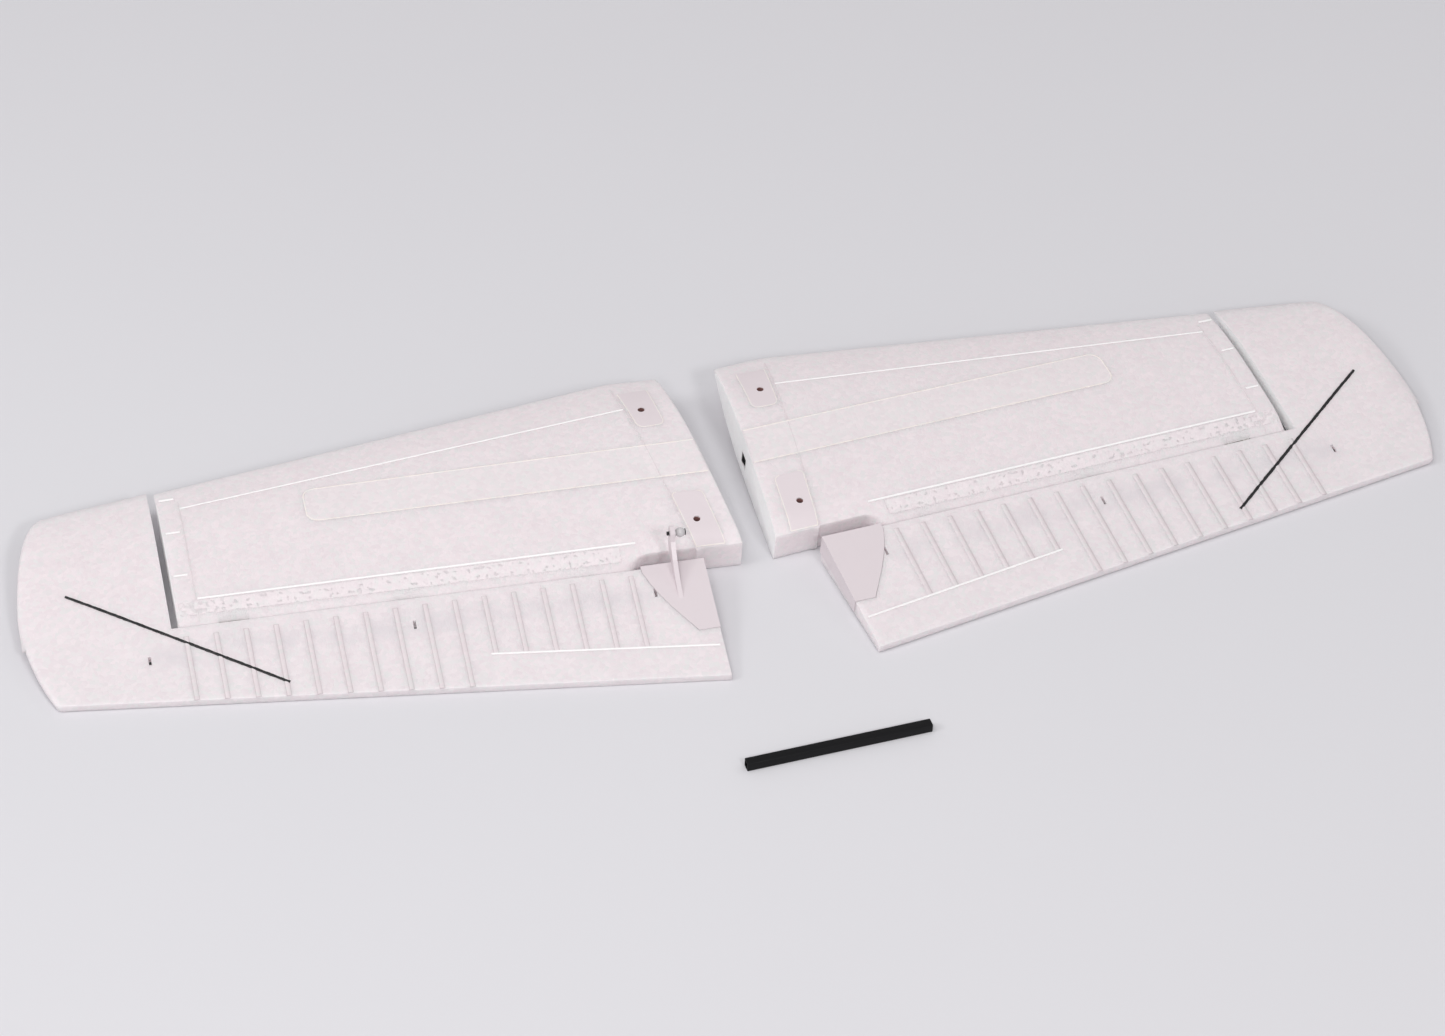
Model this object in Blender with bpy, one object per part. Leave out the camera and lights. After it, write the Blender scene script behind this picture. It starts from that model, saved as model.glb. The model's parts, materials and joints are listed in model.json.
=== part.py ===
"""Tailplane set of a radio-controlled model aeroplane: a left and a right half, each a foam stabiliser
with a hinged foam elevator whose tip carries a horn balance, and the loose square tube that joins them.

Frame: metres, +X spanwise to the right, +Y towards the leading edges, +Z up, origin at the bottom centre.
Each half is drawn in its own frame, in millimetres: u outboard from the root, v forward from the hinge line,
w up from the middle of the section. The halves mirror each other."""

import math

import bmesh
import bpy
from mathutils import Matrix, Vector

MM = 0.001
SET_NAME = "rc_tailplane_set"

# ---- layout of the set on the table, mm and degrees
ROOT_X = 8.0  # each half's local origin, out from the plane between the halves
ROOT_Y = -2.99  # and along Y
YAW = 5.475  # the tips point forward by this much
NOSE_UP = 4.74  # each half leans on its belly and its trailing edge
LIFT = 2.26  # height of the middle of the trailing edge
DROOP = {"left": 0.35, "right": 0.0}  # the left elevator rests a little trailing edge down
JOINER_AT = (-1.8, -113.39)
JOINER_YAW = 1.86
JOINER_SIDE = 4.1
JOINER_BORE = 2.6
JOINER_LENGTH = 82.2

# ---- plan outline of the right half, mm
ROOT_SLANT = 0.15  # the root face leans outboard going forward
BLOCK_REAR = 8.0  # rear face of the root block
NOTCH_REAR = 8.5  # rear face behind the horn
NOTCH_IN = 20.6
NOTCH_OUT = 46.5
LE_ROOT_V = 117.1
CUFF_U = 39.6  # the leading edge turns here
STAB_TIP_U = 244.8
LE_TIP_V = 81.5
HORN_U = 248.0
LE_SLOPE = (LE_TIP_V - LE_ROOT_V) / (244.6 - CUFF_U)
NOSE_APEX = 1.2  # rearmost point of the stabiliser's rounded rear edge
TE_IN = (18.6, -61.9)
TE_OUT = (299.2, -35.1)
TIP_U = 311.0

# ---- heights, mm
TOP_ROOT = 9.8
TOP_TIP = 4.9
BELLY_EXTRA = 0.6  # the root cuff is this much deeper below
BELLY_RUN = 60.0
TE_HALF = 1.9
CREST = 0.45  # share of the chord, from the leading edge, where the section is thickest
HINGE_SHARE = 0.72  # height at the hinge line, as a share of the crest

# ---- joint
AXIS_V = 0.6
ELEV_FACE = -0.3
HINGE_US = (72.0, 146.5, 221.0)
LEAF_HALF_WIDTH = 6.0
LEAF_HALF_THICK = 0.5
BARREL_R = 1.5
PIN_R = 0.5

# ---- inserts
STRIP_FRONT_V = 69.0
STRIP_REAR_V = 49.5
STRIP_END_U = 181.5
PLATE_THICK = 1.2
FIT = 0.25  # clearance round an insert
HOLE_R = 1.55
SOCKET_V = 61.8
SOCKET_W = -1.8
SLEEVE_SIDE = 5.9
SLEEVE_BORE = 4.9
SLEEVE_END_U = 51.0

FOAM = (0.90, 0.885, 0.89, 1.0)
PLASTIC = (0.84, 0.81, 0.82, 1.0)
CARBON = (0.02, 0.02, 0.022, 1.0)
STEEL = (0.55, 0.55, 0.56, 1.0)
NYLON = (0.80, 0.79, 0.77, 1.0)


# ------------------------------------------------------------------ sections

def le_v(u):
    """Leading edge of the plan outline, before the tip is rounded."""
    if u <= CUFF_U:
        return LE_ROOT_V
    return LE_ROOT_V + LE_SLOPE * (u - CUFF_U)


def te_v(u):
    share = (u - TE_IN[0]) / (TE_OUT[0] - TE_IN[0])
    return TE_IN[1] + share * (TE_OUT[1] - TE_IN[1])


def crest(u):
    return TOP_ROOT + (TOP_TIP - TOP_ROOT) * u / STAB_TIP_U


def belly(u):
    run = max(0.0, 1.0 - max(u, 0.0) / BELLY_RUN)
    return crest(u) + BELLY_EXTRA * run * run * (3.0 - 2.0 * run)


def shape(s):
    """Height of the section as a share of its crest; s runs from the leading edge to the hinge line."""
    s = min(max(s, 0.0), 1.0)
    if s < CREST:
        x = s / CREST
        wedge = 1.0 - (1.0 - x) ** 2.1
        round_nose = math.sqrt(1.0 - (1.0 - x) ** 2)
        return 0.78 * wedge + 0.22 * round_nose
    x = (s - CREST) / (1.0 - CREST)
    return 1.0 - (1.0 - HINGE_SHARE) * x * x


def stab_top(u, v):
    chord = le_v(u)
    if v >= 19.0:
        return crest(u) * shape((chord - v) / chord)
    x = min((19.0 - v) / (19.0 - NOSE_APEX), 1.0)
    return crest(u) * shape((chord - 19.0) / chord) * (1.0 - x * x) ** 0.8


def stab_bottom(u, v):
    chord = le_v(u)
    if v >= 10.0:
        return -belly(u) * shape((chord - v) / chord)
    x = min((10.0 - v) / (10.0 - NOSE_APEX), 1.0)
    low = belly(u) * shape((chord - 10.0) / chord)
    return -low * math.sqrt(1.0 - x * x)


def block_bottom(u, v):
    """Below the root block the section runs on to its flat rear face."""
    chord = le_v(u)
    return -belly(u) * shape((chord - v) / chord)


def tip_share(u):
    """The elevator thins towards its rounded tip."""
    if u <= 296.0:
        return 1.0
    x = min((u - 296.0) / (TIP_U + 0.25 - 296.0), 1.0)
    return math.sqrt(1.0 - x * x)


def elev_half(u, v):
    """Half thickness of the elevator, the same above and below."""
    if v < 0.0:
        s = min(v / te_v(u), 1.0)
        hinge = HINGE_SHARE * crest(u)
        return (TE_HALF + (hinge - TE_HALF) * (1.0 - s) ** 1.12) * tip_share(u)
    chord = le_v(u) + 0.4
    return crest(u) * shape((chord - v) / chord) * tip_share(u)


def elev_top(u, v):
    return elev_half(u, v)


def tip_front_v(u):
    """Front outline of the horn balance: the leading edge, then a quarter round into the tip."""
    if u <= 290.0:
        return le_v(u) + 0.9
    x = min((u - 290.0) / (TIP_U - 290.0), 1.0)
    return 14.0 + (74.0 - 14.0) * (1.0 - x ** 2.75) ** (1.0 / 1.35)


def tip_rear_v(u):
    """Rear outline: the trailing edge, then a slanted, slightly bowed tip."""
    if u <= 299.6:
        return te_v(u)
    x = min((u - 299.6) / (TIP_U - 299.6), 1.0)
    return 14.0 - (14.0 + 35.1) * (1.0 - x ** 1.25) ** 0.6


# ------------------------------------------------------------------ mesh helpers

def set_material(obj, name, colour, rough):
    material = bpy.data.materials.new(name)
    material.use_nodes = True
    shader = material.node_tree.nodes["Principled BSDF"]
    shader.inputs["Base Color"].default_value = colour
    shader.inputs["Roughness"].default_value = rough
    obj.data.materials.append(material)


def finish(bm, name, collection, side, smooth=None):
    """Turns a millimetre bmesh in (u, v, w) into an object, mirrored for the left half."""
    for vert in bm.verts:
        vert.co.x = vert.co.x * side
    bmesh.ops.recalc_face_normals(bm, faces=bm.faces[:])
    if bm.calc_volume(signed=True) < 0.0:
        bmesh.ops.reverse_faces(bm, faces=bm.faces[:])
    bmesh.ops.scale(bm, vec=(MM, MM, MM), verts=bm.verts[:])
    mesh = bpy.data.meshes.new(name)
    bm.to_mesh(mesh)
    bm.free()
    if smooth is not None:
        mesh.shade_smooth()
        mesh.set_sharp_from_angle(angle=math.radians(smooth))
    obj = bpy.data.objects.new(name, mesh)
    collection.objects.link(obj)
    return obj


def loft(rings):
    """A closed body through rings of equal length. Points that two neighbouring rings share are one vertex."""
    bm = bmesh.new()
    rows = []
    for ring in rings:
        row = []
        for j, point in enumerate(ring):
            before = rows[-1][j] if rows else None
            if before is not None and (before.co - Vector(point)).length < 1e-4:
                row.append(before)
            else:
                row.append(bm.verts.new(point))
        rows.append(row)
    count = len(rings[0])
    for a, b in zip(rows, rows[1:]):
        for j in range(count):
            k = (j + 1) % count
            corners = []
            for vert in (a[j], a[k], b[k], b[j]):
                if vert not in corners:
                    corners.append(vert)
            if len(corners) > 2:
                bm.faces.new(corners)
    bm.faces.new(rows[0])
    bm.faces.new(rows[-1])
    return bm


def patch(edge_a, edge_b, across, top, bottom):
    """A block between two plan edges of equal point count; top and bottom give its heights at (u, v)."""
    bm = bmesh.new()
    grid = []
    for (ua, va), (ub, vb) in zip(edge_a, edge_b):
        row = []
        for k in range(across + 1):
            f = k / across
            u = ua + (ub - ua) * f
            v = va + (vb - va) * f
            row.append((bm.verts.new((u, v, top(u, v))), bm.verts.new((u, v, bottom(u, v)))))
        grid.append(row)
    rows = len(grid)
    for i in range(rows - 1):
        for k in range(across):
            for layer in (0, 1):
                bm.faces.new(
                    (grid[i][k][layer], grid[i][k + 1][layer], grid[i + 1][k + 1][layer], grid[i + 1][k][layer])
                )
    rim = [grid[0][k] for k in range(across + 1)]
    rim += [grid[i][across] for i in range(1, rows)]
    rim += [grid[rows - 1][k] for k in range(across - 1, -1, -1)]
    rim += [grid[i][0] for i in range(rows - 2, 0, -1)]
    for i, here in enumerate(rim):
        there = rim[(i + 1) % len(rim)]
        bm.faces.new((here[0], there[0], there[1], here[1]))
    return bm


def along(start, end, count):
    """Evenly spaced plan points from start to end."""
    points = []
    for i in range(count + 1):
        f = i / count
        points.append((start[0] + (end[0] - start[0]) * f, start[1] + (end[1] - start[1]) * f))
    return points


def widened(edge_a, edge_b, gap):
    """Both plan edges moved apart and lengthened by the gap."""
    out_a = []
    out_b = []
    last = len(edge_a) - 1
    for i, (a, b) in enumerate(zip(edge_a, edge_b)):
        pa = Vector(a)
        pb = Vector(b)
        step = (pb - pa).normalized() * gap
        ahead = Vector(edge_a[min(i + 1, last)]) - Vector(edge_a[max(i - 1, 0)])
        push = ahead.normalized() * gap
        if i == 0:
            push = -push
        elif i != last:
            push = push * 0.0
        out_a.append(tuple(pa - step + push))
        out_b.append(tuple(pb + step + push))
    return out_a, out_b


def box(u0, u1, v0, v1, w0, w1):
    bm = bmesh.new()
    made = bmesh.ops.create_cube(bm, size=1.0)
    for vert in made["verts"]:
        x = u0 + (vert.co.x + 0.5) * (u1 - u0)
        y = v0 + (vert.co.y + 0.5) * (v1 - v0)
        z = w0 + (vert.co.z + 0.5) * (w1 - w0)
        vert.co = Vector((x, y, z))
    return bm


def rod(start, end, radius, sides):
    """A cylinder between two points."""
    bm = bmesh.new()
    a = Vector(start)
    b = Vector(end)
    made = bmesh.ops.create_cone(
        bm, cap_ends=True, segments=sides, radius1=radius, radius2=radius, depth=(b - a).length
    )
    turn = Vector((0.0, 0.0, 1.0)).rotation_difference(b - a).to_matrix()
    for vert in made["verts"]:
        vert.co = turn @ vert.co + (a + b) * 0.5
    return bm


def prism(outline, u0, u1, bm=None):
    """A (v, w) outline drawn out along u, added to a mesh if one is given."""
    bm = bm or bmesh.new()
    near = [bm.verts.new((u0, v, w)) for v, w in outline]
    far = [bm.verts.new((u1, v, w)) for v, w in outline]
    bm.faces.new(near)
    bm.faces.new(far)
    for i in range(len(outline)):
        k = (i + 1) % len(outline)
        bm.faces.new((near[i], near[k], far[k], far[i]))
    return bm


def shifted(bm, offset):
    for vert in bm.verts:
        vert.co = vert.co + Vector(offset)
    return bm


def boolean(obj, tool, operation):
    modifier = obj.modifiers.new(operation.title() + str(len(obj.modifiers)), "BOOLEAN")
    modifier.operation = operation
    modifier.solver = "EXACT"
    modifier.object = tool


# ------------------------------------------------------------------ one half

class Half:
    """Builds the pieces of one half under its own empties."""

    def __init__(self, name, side, parts, tools):
        self.name = name
        self.side = side
        self.parts = parts
        self.tools = tools
        self.base = self.empty(name + "_half_frame", None)
        self.base.matrix_world = half_matrix(side)
        self.elevator = self.empty(name + "_elevator_axis", self.base)
        droop = math.radians(DROOP[name])
        self.elevator.matrix_local = Matrix.Translation((0.0, AXIS_V * MM, 0.0)) @ Matrix.Rotation(
            droop, 4, "X"
        )

    def empty(self, name, parent):
        obj = bpy.data.objects.new(name, None)
        self.tools.objects.link(obj)
        obj.parent = parent
        return obj

    def piece(self, bm, name, colour, rough, moving=False, smooth=None):
        if moving:
            shifted(bm, (0.0, -AXIS_V, 0.0))
        obj = finish(bm, self.name + "_" + name, self.parts, self.side, smooth)
        set_material(obj, self.name + "_" + name, colour, rough)
        obj.parent = self.elevator if moving else self.base
        return obj

    def tool(self, bm, name, moving=False):
        if moving:
            shifted(bm, (0.0, -AXIS_V, 0.0))
        obj = finish(bm, self.name + "_cut_" + name, self.tools, self.side)
        obj.hide_render = True
        obj.display_type = "WIRE"
        obj.parent = self.elevator if moving else self.base
        return obj


def half_matrix(side):
    """Where a half's frame lies: leaning nose up about its trailing edge, then turned and set out."""
    inner = Vector((TE_IN[0], TE_IN[1], 0.0)) * MM
    outer = Vector((TE_OUT[0], TE_OUT[1], 0.0)) * MM
    lean = (
        Matrix.Translation(inner)
        @ Matrix.Rotation(math.radians(NOSE_UP), 4, (outer - inner).normalized())
        @ Matrix.Translation(-inner)
    )
    place = Matrix.Translation((ROOT_X * MM, ROOT_Y * MM, LIFT * MM))
    right = place @ Matrix.Rotation(math.radians(YAW), 4, "Z") @ lean
    if side > 0:
        return right
    flip = Matrix.Diagonal((-1.0, 1.0, 1.0, 1.0))
    return flip @ right @ flip


TOP_STEPS = (0.0, 0.1, 0.22, 0.36, 0.5, 0.64, 0.76, 0.86, 0.925, 0.965, 0.988)
NOSE_STEPS = (8.0, 6.0, 4.2, 2.8, 1.9, NOSE_APEX, 1.6, 2.5, 4.2, 6.0, 8.0)


def stab_ring(u_base, slant, rear, rounded, le_cut=0.0):
    """One section of the stabiliser: top forward, round the leading edge, bottom back, then the rear."""
    top_pts = []
    low_pts = []

    def u_at(v):
        return u_base + ROOT_SLANT * (v - BLOCK_REAR) * slant

    front = le_v(u_base + 10.0 * slant) - le_cut
    for f in TOP_STEPS:
        v = rear + (front - rear) * f
        u = u_at(v)
        low = stab_bottom(u, v) if rounded else block_bottom(u, v)
        top_pts.append((u, v, stab_top(u, v + le_cut * f)))
        low_pts.append((u, v, block_bottom(u, v + le_cut * f) if v > 10.0 else low))
    nose = (u_at(front), front, 0.0)
    ring = top_pts + [nose] + low_pts[::-1]
    top_rear = top_pts[0]
    low_rear = low_pts[0]
    count = len(NOSE_STEPS)
    for k in range(count - 2, 0, -1):
        if rounded:
            v = NOSE_STEPS[k]
            apex = count // 2
            if k > apex:
                w = stab_bottom(u_at(v), v)
            elif k == apex:
                w = 0.0
            else:
                w = stab_top(u_at(v), v)
            ring.append((u_at(v), v, w))
        else:
            f = k / (count - 1)
            w = top_rear[2] + (low_rear[2] - top_rear[2]) * f
            ring.append((u_at(rear), rear, w))
    return ring


def build_stabiliser(half):
    rings = [
        stab_ring(0.0, 1.0, BLOCK_REAR, False, 3.0),
        stab_ring(1.2, 0.93, BLOCK_REAR, False, 1.0),
        stab_ring(3.5, 0.80, BLOCK_REAR, False, 0.2),
        stab_ring(11.0, 0.45, BLOCK_REAR, False),
        stab_ring(NOTCH_IN, 0.0, BLOCK_REAR, False),
        stab_ring(NOTCH_IN + 0.6, 0.0, NOTCH_REAR, False),
        stab_ring(30.0, 0.0, NOTCH_REAR, False),
        stab_ring(CUFF_U, 0.0, NOTCH_REAR, False),
        stab_ring(NOTCH_OUT, 0.0, NOTCH_REAR, False),
    ]
    notch_wall = stab_ring(NOTCH_OUT, 0.0, NOTCH_REAR, True)
    shared = 2 * len(TOP_STEPS) + 1
    rings.append(rings[-1][:shared] + notch_wall[shared:])
    for u in (54.0, 88.0, 109.0, 131.0, 163.0, 183.0, 203.0, 235.7, STAB_TIP_U):
        rings.append(stab_ring(u, 0.0, 8.0, True))
    foam = half.piece(loft(rings), "stabiliser_foam", FOAM, 0.6, smooth=35.0)

    def above(u, v):
        return stab_top(u, v) + 4.0

    def pocket_floor(u, v):
        return stab_top(u, v) - PLATE_THICK - FIT

    def plate_floor(u, v):
        return stab_top(u, v) - PLATE_THICK

    plates = {
        "front_root_plate": (along((23.0, 107.6), (19.9, 81.6), 4), along((36.2, 106.6), (31.6, 80.9), 4), 2),
        "rear_root_plate": (along((12.0, 38.8), (7.7, 8.6), 4), along((25.9, 39.3), (20.2, 8.6), 4), 2),
        "spar_cover_strip": (
            along((10.2, STRIP_FRONT_V), (STRIP_END_U, STRIP_FRONT_V), 12),
            along((7.3, STRIP_REAR_V), (STRIP_END_U, STRIP_REAR_V), 12),
            3,
        ),
    }
    for name, (edge_a, edge_b, across) in plates.items():
        colour = FOAM if name == "spar_cover_strip" else PLASTIC
        made = half.piece(patch(edge_a, edge_b, across, stab_top, plate_floor), name, colour, 0.45, smooth=30.0)
        wide_a, wide_b = widened(edge_a, edge_b, FIT)
        pocket = half.tool(patch(wide_a, wide_b, across, above, pocket_floor), name)
        boolean(foam, pocket, "DIFFERENCE")
        hole = {"front_root_plate": (28.2, 92.7), "rear_root_plate": (17.4, 22.9)}.get(name)
        if hole:
            u, v = hole
            top = stab_top(u, v)
            drill = half.tool(rod((u, v, top - 9.0), (u, v, top + 5.0), HOLE_R, 20), name + "_hole")
            boolean(foam, drill, "DIFFERENCE")
            boolean(made, drill, "DIFFERENCE")

    socket_u = ROOT_SLANT * (SOCKET_V - BLOCK_REAR)
    side = SLEEVE_SIDE * 0.5
    bore = SLEEVE_BORE * 0.5
    gap = side + FIT
    sleeve = half.piece(
        box(socket_u + 0.6, SLEEVE_END_U, SOCKET_V - side, SOCKET_V + side, SOCKET_W - side, SOCKET_W + side),
        "joiner_sleeve", CARBON, 0.4,
    )
    sleeve_bore = half.tool(
        box(socket_u - 5.0, SLEEVE_END_U + 5.0, SOCKET_V - bore, SOCKET_V + bore, SOCKET_W - bore, SOCKET_W + bore),
        "sleeve_bore",
    )
    boolean(sleeve, sleeve_bore, "DIFFERENCE")
    socket = half.tool(
        box(-5.0, SLEEVE_END_U + FIT, SOCKET_V - gap, SOCKET_V + gap, SOCKET_W - gap, SOCKET_W + gap), "socket"
    )
    boolean(foam, socket, "DIFFERENCE")

    def spar_top(u, v):
        return stab_top(u, v) - PLATE_THICK - 2.0 * FIT

    def spar_slot_top(u, v):
        return stab_top(u, v) - PLATE_THICK

    def spar_low(u, v):
        return -2.6

    def spar_slot_low(u, v):
        return -2.6 - FIT

    spar_a = along((56.0, 60.8), (178.0, 60.8), 8)
    spar_b = along((56.0, 57.8), (178.0, 57.8), 8)
    half.piece(patch(spar_a, spar_b, 1, spar_top, spar_low), "spar", CARBON, 0.4)
    slot_a, slot_b = widened(spar_a, spar_b, FIT)
    boolean(foam, half.tool(patch(slot_a, slot_b, 1, spar_slot_top, spar_slot_low), "spar"), "DIFFERENCE")

    reach = LEAF_HALF_WIDTH + 0.3
    thin = LEAF_HALF_THICK + FIT
    outline = (
        (-2.0, -7.5), (2.9, -7.5), (2.9, -thin), (15.3, -thin), (15.3, thin), (2.9, thin), (2.9, 7.5), (-2.0, 7.5),
    )
    recesses = bmesh.new()
    for at in HINGE_US:
        prism(outline, at - reach, at + reach, recesses)
    boolean(foam, half.tool(recesses, "hinge_recesses"), "DIFFERENCE")
    return foam


FRONT_STEPS = (0.0, 0.13, 0.30, 0.50, 0.68, 0.82, 0.92, 0.975)
REAR_STEPS = (0.0, 0.14, 0.32, 0.52, 0.72, 0.88, 1.0)


def elev_ring(u, full):
    """One section of the elevator: front top edge back, round the trailing edge, bottom forward, then the
    front: a flat face inboard, or the fore part of the horn balance outboard."""
    rear = tip_rear_v(u)
    front_v = tip_front_v(u)
    top_pts = []
    low_pts = []
    start = ELEV_FACE
    round_run = 1.6
    for f in REAR_STEPS:
        v = start + (rear - start) * f
        half_t = elev_half(u, v)
        top_pts.append((u, v, half_t))
        low_pts.append((u, v, -half_t))
    ring = top_pts + low_pts[::-1]
    top_w = top_pts[0][2]
    fore_top = []
    fore_low = []
    if full:
        for f in FRONT_STEPS[1:]:
            v = start + (front_v - start) * f
            edge = min((front_v - v) / 5.0, 1.0)
            blunt = 1.0 if u <= 290.0 else math.sqrt(1.0 - (1.0 - edge) ** 2)
            w = elev_half(u, v) * blunt
            fore_low.append((u, v, -w))
            fore_top.append((u, v, w))
        ring += fore_low + [(u, front_v, 0.0)] + fore_top[::-1]
    else:
        steps = 2 * len(FRONT_STEPS) - 1
        for k in range(1, steps + 1):
            f = k / (steps + 1)
            bulge = 1.0 - abs(2.0 * f - 1.0) ** 6
            ring.append((u, start + 0.15 * bulge * round_run, -top_w + 2.0 * top_w * f))
    return ring


def build_elevator(half):
    rings = []
    for u in (18.9, 30.0, 46.0, 70.0, 100.0, 130.0, 160.0, 190.0, 220.0, HORN_U):
        rings.append(elev_ring(u, False))
    for u in (HORN_U, 258.0, 268.0, 278.0, 285.0, 290.0, 293.5, 296.5, 299.6, 302.0, 304.3, 306.4, 308.2, 309.6, 310.6):
        rings.append(elev_ring(u, True))
    foam = half.piece(loft(rings), "elevator_foam", FOAM, 0.6, moving=True, smooth=35.0)

    # root cap: a plate let into the top and a flange down the root end
    inner = []
    outer = []
    for v_in, out in (
        (1.2, (46.4, 0.9)),
        (-0.5, (46.3, -2.4)),
        (-7.5, (43.9, -9.0)),
        (-15.0, (40.6, -16.0)),
        (-22.0, (36.6, -23.0)),
        (-29.0, (32.2, -29.8)),
        (-36.0, (28.0, -36.3)),
    ):
        inner.append((19.5, v_in))
        outer.append(out)
    rings = []
    across = 4
    for (ua, va), (ub, vb) in zip(inner, outer):
        ring = [(18.7, va, -2.6)]
        ring.append((18.7, va, elev_top(18.7, va)))
        for k in range(across + 1):
            f = k / across
            u = ua + (ub - ua) * f
            v = va + (vb - va) * f
            ring.append((u, v, elev_top(u, v)))
        for k in range(across, -1, -1):
            f = k / across
            u = ua + 0.4 + (ub - ua - 0.4) * f
            v = va + (vb - va) * f
            ring.append((u, v, elev_top(u, v) - PLATE_THICK))
        ring.append((ua + 0.4, va, -2.6))
        rings.append(ring)
    cap = half.piece(loft(rings), "elevator_root_cap", PLASTIC, 0.4, moving=True, smooth=30.0)

    def above(u, v):
        return elev_top(u, v) + 4.0

    def pocket_floor(u, v):
        return elev_top(u, v) - PLATE_THICK - FIT

    wide_in = [(15.0, v) for u, v in inner]
    wide_out = [(u + 0.35, v) for u, v in outer]
    wide_in[0] = (15.0, 4.0)
    wide_out[0] = (46.75, 4.0)
    wide_in[-1] = (15.0, -36.0 - FIT)
    wide_out[-1] = (28.2, -36.3 - FIT)
    boolean(
        foam, half.tool(patch(wide_in, wide_out, across, above, pocket_floor), "cap_top", moving=True), "DIFFERENCE"
    )
    boolean(
        foam,
        half.tool(box(15.0, 19.9 + FIT, -36.0 - FIT, 4.0, -2.6 - FIT, 15.0), "cap_side", moving=True),
        "DIFFERENCE",
    )

    # rod under the top skin, seen through three small slots
    rod_in = (40.0, -14.1, elev_top(40.0, -14.1) - 3.2)
    rod_out = (260.0, -16.6, elev_top(260.0, -16.6) - 1.9)
    half.piece(rod(rod_in, rod_out, 0.8, 12), "elevator_rod", CARBON, 0.4, moving=True)
    run = (Vector(rod_out) - Vector(rod_in)).normalized()
    tunnel = rod(Vector(rod_in) - run * 0.8, Vector(rod_out) + run * 0.8, 1.05, 12)
    boolean(foam, half.tool(tunnel, "rod_tunnel", moving=True), "DIFFERENCE")
    for k, (u, v) in enumerate(((42.6, -13.9), (146.5, -14.8), (259.2, -16.6))):
        top = elev_top(u, v)
        slot = box(u - 0.6, u + 0.6, v - 2.2, v + 2.2, top - 2.3, top + 3.0)
        boolean(foam, half.tool(slot, f"rod_slot_{k}", moving=True), "DIFFERENCE")

    # brace strip across the corner of the horn balance
    start = Vector((289.8, 24.0))
    end = Vector((203.0, -37.0))
    aside = (end - start).normalized().orthogonal() * 1.05

    def brace_low(u, v):
        return elev_top(u, v) - 0.8

    def brace_pocket(u, v):
        return elev_top(u, v) - 0.8 - FIT

    edge_a = along(tuple(start + aside), tuple(end + aside), 12)
    edge_b = along(tuple(start - aside), tuple(end - aside), 12)
    half.piece(patch(edge_a, edge_b, 1, elev_top, brace_low), "brace_strip", CARBON, 0.45, moving=True)
    wide_a, wide_b = widened(edge_a, edge_b, 0.2)
    boolean(foam, half.tool(patch(wide_a, wide_b, 1, above, brace_pocket), "brace", moving=True), "DIFFERENCE")

    reach = LEAF_HALF_WIDTH + 0.3
    thin = LEAF_HALF_THICK + FIT
    outline = (
        (3.0, -2.2), (-1.3, -2.2), (-1.3, -thin), (-13.3, -thin), (-13.3, thin), (-1.3, thin), (-1.3, 2.2), (3.0, 2.2),
    )
    recesses = bmesh.new()
    for at in HINGE_US:
        prism(outline, at - reach, at + reach, recesses)
    boolean(foam, half.tool(recesses, "elevator_hinge_recesses", moving=True), "DIFFERENCE")
    return cap


def build_hinges(half):
    wide = LEAF_HALF_WIDTH
    thick = LEAF_HALF_THICK
    for k, at in enumerate(HINGE_US):
        number = k + 1
        bore = rod((at - 20.0, AXIS_V, 0.0), (at + 20.0, AXIS_V, 0.0), PIN_R + 0.15, 12)
        bore_tool = half.tool(bore, f"pin_bore_{k}")
        moving_bore = rod((at - 20.0, AXIS_V, 0.0), (at + 20.0, AXIS_V, 0.0), PIN_R + 0.15, 12)
        moving_bore_tool = half.tool(moving_bore, f"moving_pin_bore_{k}", moving=True)

        leaf = half.piece(
            box(at - wide, at + wide, AXIS_V, 15.0, -thick, thick), f"hinge_{number}_stabiliser_leaf", NYLON, 0.5
        )
        barrel = rod((at - wide, AXIS_V, 0.0), (at + wide, AXIS_V, 0.0), BARREL_R, 16)
        boolean(leaf, half.tool(barrel, f"barrel_{k}"), "UNION")
        boolean(leaf, half.tool(box(at - 2.4, at + 2.4, -3.0, 2.6, -3.0, 3.0), f"gap_{k}"), "DIFFERENCE")
        boolean(leaf, bore_tool, "DIFFERENCE")

        leaf = half.piece(
            box(at - wide, at + wide, -13.0, AXIS_V, -thick, thick),
            f"hinge_{number}_elevator_leaf", NYLON, 0.5, moving=True,
        )
        barrel = rod((at - 2.1, AXIS_V, 0.0), (at + 2.1, AXIS_V, 0.0), BARREL_R, 16)
        boolean(leaf, half.tool(barrel, f"moving_barrel_{k}", moving=True), "UNION")
        for sign in (-1.0, 1.0):
            near = at + sign * 2.1
            far = at + sign * 9.0
            gap = box(min(near, far), max(near, far), -1.3, 4.0, -3.0, 3.0)
            boolean(leaf, half.tool(gap, f"moving_gap_{k}_{int(sign)}", moving=True), "DIFFERENCE")
        boolean(leaf, moving_bore_tool, "DIFFERENCE")

        half.piece(
            rod((at - wide + 0.2, AXIS_V, 0.0), (at + wide - 0.2, AXIS_V, 0.0), PIN_R, 12),
            f"hinge_{number}_pin", STEEL, 0.3,
        )


HORN_OUTLINE = (
    (-21.5, 3.9), (-10.7, 7.9), (-3.0, 12.3), (2.6, 17.6), (3.4, 21.4), (4.6, 23.1), (6.4, 23.4),
    (8.2, 21.9), (8.6, 19.7), (7.9, 15.0), (6.6, 11.2), (4.2, 9.6), (0.0, 8.9), (-3.6, 8.1), (-5.4, 6.6),
    (-5.6, 5.3),
)
BALL_AT = (28.7, 6.0, 19.6)


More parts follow.
